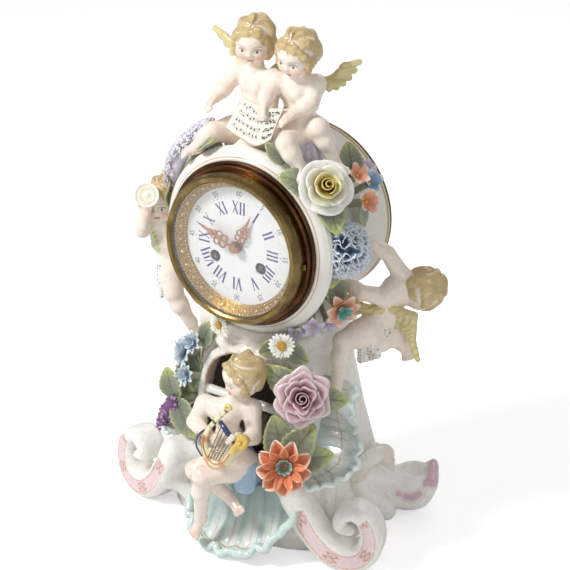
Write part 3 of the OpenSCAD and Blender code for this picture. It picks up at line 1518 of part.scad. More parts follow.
// A pierced hand: scrolls as [along, across, radius] and a slim leaf, in shares of its length
hand_scroll_shares = [[0.27, 0.07, 0.09], [0.41, 0.09, 0.08], [0.53, 0.05, 0.055]];
hand_leaf_shares = [[0.05, 0.035], [0.3, 0.02], [0.5, 0.035], [0.62, 0.07], [0.7, 0.035],
  [0.8, 0.03], [1, 0]];
module hand_outline(l, eye, hole) {
  difference() {
    union() {
      circle(r = eye);
      polygon(concat([for (p = hand_leaf_shares) [p[1] * l, p[0] * l]],
        [for (i = [len(hand_leaf_shares) - 2 : -1 : 0])
          [-hand_leaf_shares[i][1], hand_leaf_shares[i][0]] * l]));
      for (s = hand_scroll_shares, side = [-1, 1])
        translate([side * s[1] * l, s[0] * l])
          difference() {
            circle(r = s[2] * l, $fn = slice_fn);
            circle(r = s[2] * l * 0.55, $fn = slice_fn);
          }
    }
    circle(r = hole);
  }
}
// The hands stand as photographed, in degrees from twelve
minute_turn = shown_minute * 6;
hour_turn = shown_minute / 2;
hand_grip = run_gap / 2;
module hour_hand() {
  color("sienna")
    plate(hour_hand_y - hand_t / 2, hour_hand_y + hand_t / 2)
      rotate(-hour_turn)
        hand_outline(hour_l, hour_pipe_r + motion_t, hour_pipe_r + hand_grip);
}
module minute_hand() {
  cap_r = cannon_r + motion_t;
  color("sienna")
    difference() {
      union() {
        plate(minute_hand_y - hand_t / 2, minute_hand_y + hand_t / 2)
          rotate(-minute_turn)
            hand_outline(minute_l, cap_r + hand_t, hub_r);
        // The collet on its arbor
        bar([0, 0], cap_r, cannon_front_y - hand_t, minute_hand_y);
      }
      bar([0, 0], cannon_r + hand_grip, cannon_front_y - run_gap, minute_hand_y + hand_t);
      bar([0, 0], hub_r + hand_grip, hand_top_y - cut, minute_hand_y);
    }
}

// Bell on its stand, with the hammer
bell_at = bell_at_share * plate_r;
bell_y = pendulum_y + 7 * rod_r;
bell_rear_y = bell_y + bell_depth;
module bell() {
  wall = bell_r - bell_t;
  outer = [for (i = [0 : 6]) [bell_r * cos(i * 13), bell_y + bell_depth * sin(i * 13)]];
  inner = [for (i = [6 : -1 : 0]) [wall * cos(i * 13), bell_y + (bell_depth - bell_t) * sin(i * 13)]];
  color("darkgoldenrod")
    translate([bell_at[0], 0, bell_at[1]])
      turned(concat(outer, [[0, bell_y + bell_depth * sin(78)],
        [0, bell_y + (bell_depth - bell_t) * sin(78)]], inner));
  color("silver") {
    bar(bell_at, pillar_r, back_plate_rear_y, bell_rear_y - bell_t);
    bar(bell_at, pillar_r, bell_rear_y - bell_t, bell_rear_y + bell_t);
  }
}
module bell_hammer() {
  head = bell_at + polar(bell_r + hammer_gap + hammer_r, strike_bearing);
  arm_y = back_plate_rear_y + 2 * crutch_t;
  color("silver") {
    bar(hammer_at, arbor_r, arbor_front_y, arbor_rear_y);
    bar(hammer_at, pivot_r, arbor_front_y - plate_t, arm_y + crutch_t);
    plate(arm_y, arm_y + crutch_t) {
      translate(hammer_at)
        circle(r = 2 * arbor_r);
      translate(hammer_at)
        rotate(toward(hammer_at, head))
          translate([0, -arbor_r])
            square([norm(head - hammer_at), 2 * arbor_r]);
    }
    bar(head, 2 * arbor_r, arm_y, bell_y + crutch_t);
    bar(head, hammer_r, bell_y, bell_y + bell_depth / 2);
  }
}

base_body();
foot_front_left();
foot_front_right();
foot_back_left();
foot_back_right();
front_shell();
rocaille_left();
rocaille_right();
saddle();
drum_case();
putto_musician();
lyre();
putto_right();
putto_left();
cymbal();
putto_top_left();
putto_top_right();
song_sheet();
rose_pink();
lily_orange();
daisies();
blossoms_left();
berry_cluster();
leaves_base();
rose_cream();
carnation_blue();
bouquet_right();
blossoms_right();
lilac_left();
leaves_drum();
bezel_flange();
sight_ring();
dial();
bezel_ring();
bezel_glass();
hinge_pins();
rear_ring();
rear_door();
case_straps();
strap_screws();
front_plate();
back_plate();
going_barrel();
strike_barrel();
winding_arbor_right();
winding_arbor_left();
intermediate_wheel();
centre_wheel();
third_wheel();
escape_wheel();
pallets();
cannon_pinion();
minute_wheel();
hour_wheel();
hour_hand();
minute_hand();
suspension_cock();
pendulum();
bell();
bell_hammer();
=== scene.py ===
# %% [markdown]
# # A porcelain table clock
# Children, flowers and scrolls of painted porcelain stand round a French brass movement.
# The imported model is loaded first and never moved: it gives every size and every moving body.
# What follows is the skin that the eye sees, made in the same frame, in metres.
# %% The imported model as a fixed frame
import json
import math
import bpy
import numpy as np
from mathutils import Matrix, Vector

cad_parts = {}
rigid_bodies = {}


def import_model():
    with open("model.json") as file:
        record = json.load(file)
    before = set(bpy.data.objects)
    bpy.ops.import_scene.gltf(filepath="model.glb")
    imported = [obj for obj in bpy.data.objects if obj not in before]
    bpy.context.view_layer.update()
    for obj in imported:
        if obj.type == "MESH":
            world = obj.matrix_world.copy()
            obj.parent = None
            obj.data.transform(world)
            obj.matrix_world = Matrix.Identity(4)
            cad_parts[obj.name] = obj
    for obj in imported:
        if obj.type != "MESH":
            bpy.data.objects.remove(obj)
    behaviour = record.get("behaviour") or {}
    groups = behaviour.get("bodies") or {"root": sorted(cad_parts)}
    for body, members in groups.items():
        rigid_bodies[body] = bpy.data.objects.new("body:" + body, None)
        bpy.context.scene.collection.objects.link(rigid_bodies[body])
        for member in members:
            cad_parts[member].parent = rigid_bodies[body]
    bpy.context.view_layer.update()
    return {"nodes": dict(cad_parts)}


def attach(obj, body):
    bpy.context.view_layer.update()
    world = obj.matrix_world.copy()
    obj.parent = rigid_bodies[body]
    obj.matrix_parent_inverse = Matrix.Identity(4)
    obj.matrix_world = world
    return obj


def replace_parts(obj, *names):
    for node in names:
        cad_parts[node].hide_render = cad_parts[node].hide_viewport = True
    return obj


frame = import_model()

MM = 0.001

# %% [markdown]
# ## The camera
# A product photograph is taken from far off with a long lens, which keeps upright lines upright.
# %% The camera
AXIS_Z = 244.0  # height of the dial's centre
LOOK_AT = np.array([2.43, 0.0, 191.34])
DISTANCE = 1515.94
FOCAL_PIXELS, FRAME_PIXELS, SENSOR = 2003.73, 570, 36.0
azimuth, elevation, roll = (math.radians(v) for v in (32.68, 24.8, 1.66))
view_back = np.array([math.sin(azimuth) * math.cos(elevation), -math.cos(azimuth) * math.cos(elevation),
    math.sin(elevation)])
right = np.array([math.cos(azimuth), math.sin(azimuth), 0.0])
up = np.cross(view_back, right)
view_right = math.cos(roll) * right + math.sin(roll) * up
view_up = math.cos(roll) * up - math.sin(roll) * right
camera_data = bpy.data.cameras.new("camera")
camera_data.lens = FOCAL_PIXELS / FRAME_PIXELS * SENSOR
camera_data.sensor_width = SENSOR
camera_data.clip_end = 20
camera = bpy.data.objects.new("camera", camera_data)
place = np.eye(4)
place[:3, 0], place[:3, 1], place[:3, 2] = view_right, view_up, view_back
place[:3, 3] = (LOOK_AT + view_back * DISTANCE) * MM
camera.matrix_world = Matrix(place.tolist())
bpy.context.scene.collection.objects.link(camera)
bpy.context.scene.camera = camera
print("lens", round(camera_data.lens, 1), "mm")

# %% [markdown]
# ## Colours and nodes
# Colours are written as they look on screen and turned to linear light once.
# One helper adds a node, sets its sockets and makes its links.
# %% Colours and nodes


def linear(hex_code):
    """sRGB hex to a linear colour with alpha."""
    values = [int(hex_code[i:i + 2], 16) / 255 for i in (1, 3, 5)]
    return tuple(v / 12.92 if v <= 0.04045 else ((v + 0.055) / 1.055) ** 2.4 for v in values) + (1.0,)


def smooth(x, low, high):
    """0 below low, 1 above high and an even slope between."""
    t = np.clip((x - low) / (high - low), 0, 1)
    return t * t * (3 - 2 * t)


def coats(count, ground, *layers):
    """A ground colour for a number of points, then layers of (hex, weight) over it."""
    colour = np.tile(np.array(linear(ground)), (count, 1))
    for hex_code, weight in layers:
        colour = colour + (np.array(linear(hex_code)) - colour) * np.clip(weight, 0, 1)[:, None]
    return colour


def feed(node, sockets):
    """Sets a node's sockets to values or outputs; a node stands for its first output."""
    for name, value in sockets.items():
        value = value.outputs[0] if isinstance(value, bpy.types.Node) else value
        if isinstance(value, bpy.types.NodeSocket):
            node.id_data.links.new(value, node.inputs[name])
        else:
            node.inputs[name].default_value = value


def add(tree, kind, sockets={}, **settings):
    """Adds a node with its settings, values and links."""
    node = tree.nodes.new(kind)
    for name, value in settings.items():
        setattr(node, name, value)
    feed(node, sockets)
    return node


def in_scene(name, data):
    """An object of the scene that shows some data."""
    made = bpy.data.objects.new(name, data)
    bpy.context.scene.collection.objects.link(made)
    return made


def finish_of(name):
    """An empty material with its Principled shader."""
    material = bpy.data.materials.new(name)
    material.use_nodes = True
    return material, material.node_tree, material.node_tree.nodes["Principled BSDF"]


def object_noise(tree, size_mm, detail=3.0, rough=0.5):
    """Noise on Object coordinates whose largest blots are about size_mm across."""
    where = add(tree, "ShaderNodeTexCoord").outputs["Object"]
    return add(tree, "ShaderNodeTexNoise", {"Vector": where, "Scale": 1 / (size_mm * MM), "Detail": detail,
        "Roughness": rough})


print("helpers ready")

# %% [markdown]
# ## Studio
# A white sweep under soft boxes. Camera rays see plain white, while the lamps light the object.
# %% Floor, sky and lamps
world = bpy.data.worlds.new("studio")
bpy.context.scene.world = world
world.use_nodes = True
sky = world.node_tree
sky.nodes.clear()
rays = add(sky, "ShaderNodeLightPath")
seen = add(sky, "ShaderNodeMath", {0: rays.outputs["Is Camera Ray"],
    1: rays.outputs["Is Transmission Ray"]}, operation="MAXIMUM")
ambient = add(sky, "ShaderNodeBackground", {"Color": linear("#FFFFFF"), "Strength": 0.4})
white = add(sky, "ShaderNodeBackground", {"Color": linear("#FFFFFF"), "Strength": 1.0})
add(sky, "ShaderNodeOutputWorld", {"Surface": add(sky, "ShaderNodeMixShader",
    {0: seen, 1: ambient, 2: white})})

floor_mesh = bpy.data.meshes.new("floor")
half = 3.0
floor_mesh.from_pydata([(-half, -half, 0), (half, -half, 0), (half, half, 0), (-half, half, 0)], [],
    [(0, 1, 2, 3)])
floor = in_scene("floor", floor_mesh)
paper, tree, shader = finish_of("matt white paper")
feed(shader, {"Base Color": linear("#F2F2F2"), "Roughness": 0.9, "Emission Color": linear("#FFFFFF")})
rays = add(tree, "ShaderNodeLightPath")
glow = add(tree, "ShaderNodeMath", {0: rays.outputs["Is Camera Ray"], 1: 0.46}, operation="MULTIPLY")
feed(shader, {"Emission Strength": glow})
floor_mesh.materials.append(paper)


def soft_box(name, toward, distance, size, power):
    """A square lamp at a distance in metres along a direction from the clock."""
    lamp = bpy.data.lights.new(name, "AREA")
    lamp.size, lamp.energy = size, power
    box = in_scene(name, lamp)
    way = Vector(toward).normalized()
    box.location = Vector((0, 0, 0.2)) + way * distance
    box.rotation_mode = "QUATERNION"
    box.rotation_quaternion = way.to_track_quat("Z", "Y")


soft_box("key box", (-0.55, -0.9, 0.95), 1.3, 0.26, 13.0)
soft_box("fill box", (1.0, -0.6, 0.5), 1.5, 0.8, 2.8)
soft_box("back box", (-0.1, 1.0, 0.9), 1.5, 0.8, 3.4)
bpy.context.scene.view_settings.view_transform = "Standard"

# %% [markdown]
# ## Clay
# Porcelain figures are modelled in clay and pressed in moulds, so their forms flow together.
# The clay is a field of distances in mm: lumps are joined with a soft minimum, cut with a
# soft maximum, and the zero level is skinned with surface nets.
# %% Clay: lumps and how they join


def unit(v):
    v = np.asarray(v, float)
    return v / np.linalg.norm(v)


def units(rows):
    return rows / np.linalg.norm(rows, axis=-1, keepdims=True)


def limb(a, b, ra, rb):
    """Distance to a tapered round limb between a and b."""
    a, b = np.asarray(a, float), np.asarray(b, float)
    span = b - a
    square = max(float(span @ span), 1e-9)

    def field(p):
        t = np.clip((p - a) @ span / square, 0, 1)
        return np.linalg.norm(p - a - t[:, None] * span, axis=1) - (ra + (rb - ra) * t)
    reach = max(ra, rb)
    return field, np.minimum(a, b) - reach, np.maximum(a, b) + reach


def lump(centre, radii, axes=None):
    """Distance to an ellipsoid; the rows of axes are its own directions."""
    centre, radii = np.asarray(centre, float), np.asarray(radii, float) * np.ones(3)
    axes = np.eye(3) if axes is None else np.asarray(axes, float)

    def field(p):
        q = (p - centre) @ axes.T
        near = np.linalg.norm(q / radii, axis=1)
        return near * (near - 1) / (np.linalg.norm(q / radii ** 2, axis=1) + 1e-9)
    reach = radii.max()
    return field, centre - reach, centre + reach


class Clay:
    """A list of lumps, each with a softness of its join in mm and a paint name."""

    def __init__(self):
        self.parts = []

    def add(self, form, soft=1.5, paint="skin", cut=False):
        self.parts.append((form, soft, paint, cut))
        return self

    def chain(self, points, radii, soft=1.5, paint="skin"):
        for i in range(len(points) - 1):
            self.add(limb(points[i], points[i + 1], radii[i], radii[i + 1]), soft, paint)

    def grid(self, step):
        """The joined field on a grid: its values and its lowest corner."""
        solid = [form for form, _, _, cut in self.parts if not cut]
        low = np.min([form[1] for form in solid], axis=0) - 4 * step
        high = np.max([form[2] for form in solid], axis=0) + 4 * step
        count = np.ceil((high - low) / step).astype(int)
        values = np.full(count, 50.0, np.float32)
        for (field, lo, hi), soft, _, cut in self.parts:
            a = np.clip(((lo - soft - 2 * step - low) / step).astype(int), 0, count)
            b = np.clip(((hi + soft + 2 * step - low) / step).astype(int) + 2, 0, count)
            if np.any(b <= a):
                continue
            axis = [low[i] + step * np.arange(a[i], b[i]) for i in range(3)]
            p = np.stack(np.meshgrid(*axis, indexing="ij"), -1).reshape(-1, 3)
            new = field(p).reshape(b - a)
            window = tuple(slice(a[i], b[i]) for i in range(3))
            old = values[window]
            p, q, sign = (-new, old, -1) if cut else (old, new, 1)
            blend = np.clip(0.5 + sign * 0.5 * (p - q) / soft, 0, 1)
            values[window] = p + (q - p) * blend - sign * soft * blend * (1 - blend)
        return values, low

    def nearest(self, points, paint):
        """Distance from points to the lumps of one paint."""
        best = np.full(len(points), 50.0)
        for (field, lo, hi), _, name, cut in self.parts:
            if name == paint and not cut:
                close = np.all((points > lo - 12) & (points < hi + 12), axis=1)
                if close.any():
                    best[close] = np.minimum(best[close], field(points[close]))
        return best


CORNERS = np.array([(i, j, k) for i in (0, 1) for j in (0, 1) for k in (0, 1)])
EDGES = [(a, b) for a in range(8) for b in range(a + 1, 8) if np.abs(CORNERS[a] - CORNERS[b]).sum() == 1]


def surface_net(values, low, step):
    """Skins the zero level of a field: one point in each cell that the surface crosses."""
    inside = values < 0
    count = np.array(values.shape) - 1
    filled = np.zeros(count, int)
    for c in CORNERS:
        filled += inside[c[0]:count[0] + c[0], c[1]:count[1] + c[1], c[2]:count[2] + c[2]]
    cells = np.argwhere((filled > 0) & (filled < 8))
    corner = np.stack([values[tuple((cells + c).T)] for c in CORNERS], 1)
    total, hits = np.zeros((len(cells), 3)), np.zeros(len(cells))
    for a, b in EDGES:
        fa, fb = corner[:, a], corner[:, b]
        crosses = (fa < 0) != (fb < 0)
        t = np.where(crosses, fa / np.where(crosses, fa - fb, 1), 0)
        total += np.where(crosses[:, None], CORNERS[a] + t[:, None] * (CORNERS[b] - CORNERS[a]), 0)
        hits += crosses
    points = low + step * (cells + total / hits[:, None])
    index = np.full(count, -1)
    index[tuple(cells.T)] = np.arange(len(cells))
    faces = []
    for axis in range(3):
        u, v = np.delete(np.eye(3, dtype=int), axis, axis=0)
        ends = [slice(1, -1)] * 3
        ends[axis] = slice(0, -1)
        start = inside[tuple(ends)]
        ends[axis] = slice(1, None)
        stop = inside[tuple(ends)]
        where = np.argwhere(start != stop)
        outward = start[tuple(where.T)]
        quad = np.stack([index[tuple((where + cell).T)] for cell in (u + v, v, 0 * u, u)], 1)
        flip = outward if axis == 1 else ~outward
        quad[flip] = quad[flip][:, ::-1]
        faces.append(quad)
    return points, np.concatenate(faces)


def mesh_piece(name, points_mm, faces, material, attributes, smooth=True):
    """A piece from points in mm; attributes are named values for each point."""
    mesh = bpy.data.meshes.new(name)
    points_mm = np.asarray(points_mm, np.float32)
    mesh.from_pydata((points_mm * MM).tolist(), [], faces)
    for key, data in attributes.items():
        data = np.asarray(data, np.float32)
        kind, field = {1: ("FLOAT", "value"), 3: ("FLOAT_VECTOR", "vector"),
            4: ("FLOAT_COLOR", "color")}[data.size // len(data)]
        mesh.attributes.new(key, kind, "POINT").data.foreach_set(field, data.ravel())
    if smooth:
        mesh.shade_smooth()
    mesh.materials.append(material)
    mesh.validate()
    piece = in_scene(name, mesh)
    piece["ride_on"] = "case"
    return piece


def skinned(clay, step):
    """Skins the clay, then evens the surface out a little, as a wet brush does."""
    points, faces = surface_net(*clay.grid(step), step)
    total, hits = np.zeros_like(points), np.zeros(len(points))
    for i in range(4):
        a, b = faces[:, i], faces[:, (i + 1) % 4]
        for p, q in ((a, b), (b, a)):
            np.add.at(total, p, points[q])
            np.add.at(hits, p, 1)
    return points + 0.4 * (total / hits[:, None] - points), faces


def clay_piece(name, nodes, points, faces, material, **attributes):
    """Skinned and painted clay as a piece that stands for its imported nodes."""
    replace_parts(mesh_piece(name, points, faces.tolist(), material, attributes), *nodes)
    print(name, len(faces), "faces")


print("clay ready:", len(EDGES), "cell edges")

# %% [markdown]
# ## Painted porcelain
# Porcelain is white and faintly translucent under a glassy glaze, with enamels fired on top.
# Each piece carries its paint as an attribute; the shader adds brush marks, kiln specks, the
# glaze's slight orange peel and its gloss.
# %% Painted porcelain


def surface_of(tree, shader, cloud_mm, gloss, peel_mm, detail, strength, depth_mm, translucent=0.0):
    """A clouded gloss, a faint orange peel and a little translucence."""
    rough = add(tree, "ShaderNodeMapRange", {"Value": object_noise(tree, cloud_mm), "To Min": gloss[0],
        "To Max": gloss[1]})
    feed(shader, {"Roughness": rough})
    peel = add(tree, "ShaderNodeBump", {"Height": object_noise(tree, peel_mm, detail), "Strength": strength,
        "Distance": depth_mm * MM})
    feed(shader, {"Normal": peel, "Subsurface Weight": translucent})
    feed(shader, {"Subsurface Radius": (1.2 * MM, 0.8 * MM, 0.6 * MM), "Subsurface Scale": 1.0})


def enamel_paint(material_name, speck=0.35, gloss=0.1, extra=None):
    """Glazed porcelain that shows the attribute 'paint'; extra may draw more on it."""
    material, tree, shader = finish_of(material_name)
    colour = add(tree, "ShaderNodeAttribute", attribute_name="paint").outputs["Color"]
    if extra:
        colour = extra(tree, colour)
    # brush marks 3 mm wide and darker pooling
    marks = add(tree, "ShaderNodeMapRange", {"Value": object_noise(tree, 3.0, 4.0), "From Min": 0.3,
        "From Max": 0.7, "To Min": 0.93, "To Max": 1.05})
    colour = add(tree, "ShaderNodeVectorMath", {0: colour, 3: marks}, operation="SCALE").outputs["Vector"]
    # kiln specks, drawn half a millimetre wide so that they show
    where = add(tree, "ShaderNodeTexCoord").outputs["Object"]
    cells = add(tree, "ShaderNodeTexVoronoi", {"Vector": where, "Scale": 1 / (7 * MM)})
    dots = add(tree, "ShaderNodeMapRange", {"Value": cells.outputs["Distance"], "From Min": 0.03,
        "From Max": 0.06, "To Min": speck, "To Max": 0.0})
    mixed = add(tree, "ShaderNodeMix", {"Factor": dots, 6: colour, 7: linear("#6B5A48")}, data_type="RGBA")
    feed(shader, {"Base Color": mixed.outputs[2], "IOR": 1.5})
    surface_of(tree, shader, 9.0, (gloss, gloss + 0.1), 2.2, 2.0, 0.5, 0.12, 0.06)
    return material


def spot(tree, where, centre, radii, soft=0.12):
    """A soft-edged ellipse of 1 round a centre."""
    away = add(tree, "ShaderNodeVectorMath", {0: where, 1: centre}, operation="SUBTRACT")
    scaled = add(tree, "ShaderNodeVectorMath", {0: away, 1: tuple(1 / r for r in radii)},
        operation="MULTIPLY")
    size = add(tree, "ShaderNodeVectorMath", {0: scaled}, operation="LENGTH").outputs["Value"]
    return add(tree, "ShaderNodeMapRange", {"Value": size, "From Min": 1 - soft, "From Max": 1 + soft,
        "To Min": 1.0, "To Max": 0.0})


def over(tree, colour, mask, hex_code, strength=1.0):
    factor = add(tree, "ShaderNodeMath", {0: mask, 1: strength}, operation="MULTIPLY")
    return add(tree, "ShaderNodeMix", {"Factor": factor, 6: colour, 7: linear(hex_code)},
        data_type="RGBA").outputs[2]


def without(tree, mask, other):
    """A mask less another: thin arcs for brows, lids and lips."""
    rest = add(tree, "ShaderNodeMath", {0: 1.0, 1: other}, operation="SUBTRACT")
    return add(tree, "ShaderNodeMath", {0: mask, 1: rest}, operation="MULTIPLY")


EYE_X, EYE_Z = 0.36, -0.06


def face_paint(tree, colour):
    """Eyes, brows and lips in skull radii: x across, y forward, z up."""
    face = add(tree, "ShaderNodeAttribute", attribute_name="face").outputs["Vector"]
    for side in (-1, 1):
        x = side * EYE_X
        lid = without(tree, spot(tree, face, (x, 0.95, EYE_Z), (0.2, 0.5, 0.13)),
            spot(tree, face, (x, 0.95, EYE_Z - 0.05), (0.2, 0.6, 0.13)))
        for wide, tint, strength in ((0.16, "#F4EFE8", 0.8), (0.075, "#5A4636", 0.9)):
            eye = spot(tree, face, (x, 0.95, EYE_Z - 0.02), (wide, 0.5, 0.075))
            colour = over(tree, colour, eye, tint, strength)
        colour = over(tree, colour, lid, "#6E4A38", 0.9)
        brow = without(tree, spot(tree, face, (x * 1.05, 0.95, EYE_Z + 0.14), (0.25, 0.5, 0.17)),
            spot(tree, face, (x * 1.05, 0.95, EYE_Z + 0.1), (0.27, 0.6, 0.17)))
        colour = over(tree, colour, brow, "#A9825B", 0.75)
    lips = spot(tree, face, (0.0, 1.0, -0.585), (0.17, 0.4, 0.075))
    return over(tree, colour, lips, "#C4625A", 0.8)


figure_glaze = enamel_paint("hand-painted glazed porcelain, figures", extra=face_paint)
print("first glaze:", figure_glaze.name)

# %% [markdown]
# ## The children
# Each child is a table of joints in millimetres from the middle of the hips. Limbs, belly,
# cheeks, fingers and toes are lumps joined softly, harder at wrists and ankles, where a plump
# child has a crease.
# %% Anatomy of a child
SKULL = 15.4
SKIN, BLUSH, HAIR, HAIR_DARK = "#F4E8DB", "#E5A88D", "#D3BC8C", "#98794C"
WING, WING_DARK, WHITE, GOLD = "#E6DDAA", "#C4B070", "#F4F2EC", "#B98D4F"


def blade(a, b, ra, rb, normal, flat):
    """A limb pressed flat along a normal, for feathers and folds."""
    field, lo, hi = limb(a, b, ra, rb)
    a, normal = np.asarray(a, float), unit(normal)
    return (lambda p: field(p + ((p - a) @ normal)[:, None] * normal * (flat - 1)) / (0.5 + flat / 2), lo, hi)


def hair_cap(centre, axes, seed):
    """Wavy hair over the skull, open at the face."""
    cap, lo, hi = lump(centre - axes[1] * 1.6 + axes[2] * 0.9, np.array([1.05, 1.07, 1.05]) * SKULL, axes)
    opening = lump(centre + axes[1] * 14.5 - axes[2] * 4.5, (13.6, 13.5, 14.2), axes)[0]
    nape = lump(centre + axes[1] * 2 - axes[2] * 17.5, (11, 12, 7.5), axes)[0]

    def field(p):
        q = (p - centre) @ np.asarray(axes).T / SKULL
        around = np.arctan2(q[:, 0], -q[:, 1] + 0.35)
        along = np.arctan2(np.hypot(q[:, 0], q[:, 1]), q[:, 2])
        waves = np.sin(7 * around + 2.2 * np.sin(3.1 * along + seed) + seed)
        waves = 0.85 * waves + 0.5 * np.cos(6.5 * along + 2.4 * np.sin(3 * around - seed))
        return np.maximum(np.maximum(cap(p) + 0.7 - 1.3 * waves, -opening(p)), -nape(p))
    return field, lo - 2, hi + 2


def model_head(clay, head, neck, look, seed, crown):
    """Skull, face and hair round a head centre, facing along look."""
    look, up = unit(look), np.asarray(crown, float)
    up = unit(up - (up @ look) * look)
    axes = np.array([np.cross(up, look), look, up])

    def at(x, y, z):
        return head + np.array([x, y, z]) * SKULL @ axes

    def lobe(x, y, z, radii, soft, cut=False):
        clay.add(lump(at(x, y, z), np.asarray(radii) * SKULL, axes), soft, cut=cut)

    def roll(a, b, ra, rb, soft):
        clay.add(limb(at(*a), at(*b), ra * SKULL, rb * SKULL), soft)
    lobe(0, 0, 0, (0.93, 0.98, 0.97), 1.5)
    lobe(0, 0.3, -0.42, (0.72, 0.66, 0.66), 4)
    lobe(0, 0.55, 0.28, (0.62, 0.42, 0.45), 4)
    clay.add(limb(at(0, 0.1, -0.6), neck, 5.6, 5.4), 3)
    for side in (-1, 1):
        lobe(side * 0.37, 1.1, EYE_Z, 0.19, 2.2, True)
        lobe(side * EYE_X, 0.72, EYE_Z, (0.2, 0.2, 0.15), 0.6)
        lobe(side * 0.4, 0.66, -0.42, 0.32, 3.5)
        lobe(side * 0.93, 0.05, -0.18, (0.09, 0.16, 0.24), 0.8)
        lobe(side * 1.03, 0.1, -0.18, (0.06, 0.09, 0.14), 0.6, True)
    lobe(0, 0.74, -0.86, 0.2, 2.2)
    roll((0, 0.9, 0.08), (0, 1.03, -0.26), 0.055, 0.095, 1.4)
    for side in (-1, 1):
        lobe(side * 0.085, 0.98, -0.29, 0.07, 0.6)
        roll((0, 0.965, -0.53), (side * 0.15, 0.9, -0.55), 0.05, 0.03, 0.5)
    roll((-0.09, 0.945, -0.63), (0.09, 0.945, -0.63), 0.055, 0.055, 0.6)
    clay.add(hair_cap(head, axes, seed), 0.6, "hair")
    # tufts round the face and the nape
    for i in range(15):
        a = math.radians(-118 + 236 * i / 14)
        r = 0.98 + 0.05 * math.sin(5 * i + seed)
        tuft = at(0.86 * r * math.sin(a), 0.62 - 0.2 * math.sin(a) ** 2 + 0.06 * math.cos(3 * i),
            -0.22 + 1.02 * r * math.cos(a) * (1 if abs(a) < 1.6 else 0.7))
        away = unit(tuft - head)
        swirl = unit(np.cross(away, axes[1])) * (1 if i % 2 else -1)
        clay.add(limb(tuft - swirl * 2.2, tuft + swirl * 2.4 + away * 0.6, 2.9, 1.9), 1.0, "hair")
    return axes


def model_hand(clay, elbow, hand, palm, spread=1.0):
    """A plump hand with four fingers and a thumb; palm points out of its hollow."""
    along = unit(hand - elbow)
    palm = unit(palm - (palm @ along) * along)
    across = np.cross(along, palm)
    clay.add(lump(hand - along * 1.0, (4.6, 2.9, 5.2), np.array([across, palm, along])), 1.6)
    for k in range(4):
        root = hand + along * 2.6 + across * (k - 1.5) * 2.15 * spread
        bend = root + along * 3.6 + palm * 0.7 + across * (k - 1.5) * 0.35 * spread
        tip = bend + along * (1.8 if k in (1, 2) else 1.2) + palm * 2.0
        clay.chain([root, bend, tip], [1.75, 1.5, 1.2], 0.45)
    root = hand - along * 2.0 - across * 3.6
    clay.chain([root, root + along * 3.2 - across * 1.9 + palm * 1.0,
        root + along * 5.4 - across * 1.6 + palm * 2.4], [2.0, 1.7, 1.3], 0.6)


def model_foot(clay, knee, ankle, toe, top):
    """A foot from ankle to toes; top points out of its instep."""
    along = unit(toe - ankle)
    top = unit(top - (top @ along) * along)
    across = np.cross(along, top)
    heel = ankle - along * 2.2 - top * 1.6
    ball = toe - along * 1.2
    clay.add(lump(heel, 3.9), 1.8)
    clay.add(limb(ankle - top * 0.8, ball, 4.1, 3.2), 1.8)
    clay.add(blade(heel, ball, 3.4, 4.4, top, 1.5), 1.5)
    for k in range(5):
        root = ball + along * 1.4 + across * (k - 2) * 1.75
        clay.add(limb(root, root + along * (3.0 - 0.35 * abs(k - 1)) - top * 0.6,
            1.55 if k else 1.9, 1.15 if k else 1.5), 0.4)


def model_body(clay, p, front):
    """Trunk and limbs from named joints."""
    up = unit(p["neck"] - p["hips"])
    front = unit(np.asarray(front, float) - (np.asarray(front) @ up) * up)
    side = np.cross(up, front)
    axes = np.array([side, front, up])
    hips, chest, neck = p["hips"], p["chest"], p["neck"]
    middle = hips * 0.55 + chest * 0.45
    clay.add(limb(hips - side * 4, hips + side * 4, 10.8, 10.8), 4)
    clay.add(lump(middle + front * 2.6, (12.8, 11.6, 13.5), axes), 6)
    clay.add(lump(chest, (12.6, 9.6, 11.5), axes), 6)
    clay.add(limb(chest + up * 5, neck, 7.5, 5.8), 5)
    clay.add(lump(middle + front * 14.6 - up * 1.5, 1.1), 1.6, cut=True)
    for s in (-1, 1):
        clay.add(lump(chest + side * s * 5.4 + front * 5.6 + up * 1.5, 4.8), 4)
        clay.add(lump(hips + side * s * 5.6 - front * 4.6 - up * 3.2, 8.6), 2.6)
    for s in ("a", "b"):
        shoulder, elbow, hand, hip, knee, ankle, toe = (
            p[joint + s] for joint in ("shoulder_", "elbow_", "hand_", "hip_", "knee_", "ankle_", "toe_"))
        clay.add(limb(chest + up * 5.5, shoulder, 7.4, 6.9), 4)
        clay.chain([shoulder, elbow], [7.0, 5.7], 3.0)
        wrist = hand - unit(hand - elbow) * 5.0
        clay.add(limb(elbow, wrist, 5.6, 4.3), 1.6)
        clay.add(lump(elbow + (wrist - elbow) * 0.35, 5.7), 2.5)
        model_hand(clay, elbow, hand, p.get("palm_" + s, -up))
        clay.add(limb(hip, knee, 10.8, 7.7), 4.5)
        clay.add(lump(hip + (knee - hip) * 0.35, 10.4), 4)
        clay.add(limb(knee, ankle, 7.3, 4.6), 1.6)
        bend = unit(np.cross(np.cross(knee - hip, ankle - knee) + 1e-6, ankle - knee))
        clay.add(lump(knee + (ankle - knee) * 0.36 - bend * 1.2, 7.0), 3)
        model_foot(clay, knee, ankle, toe, p.get("instep_" + s, knee - ankle))


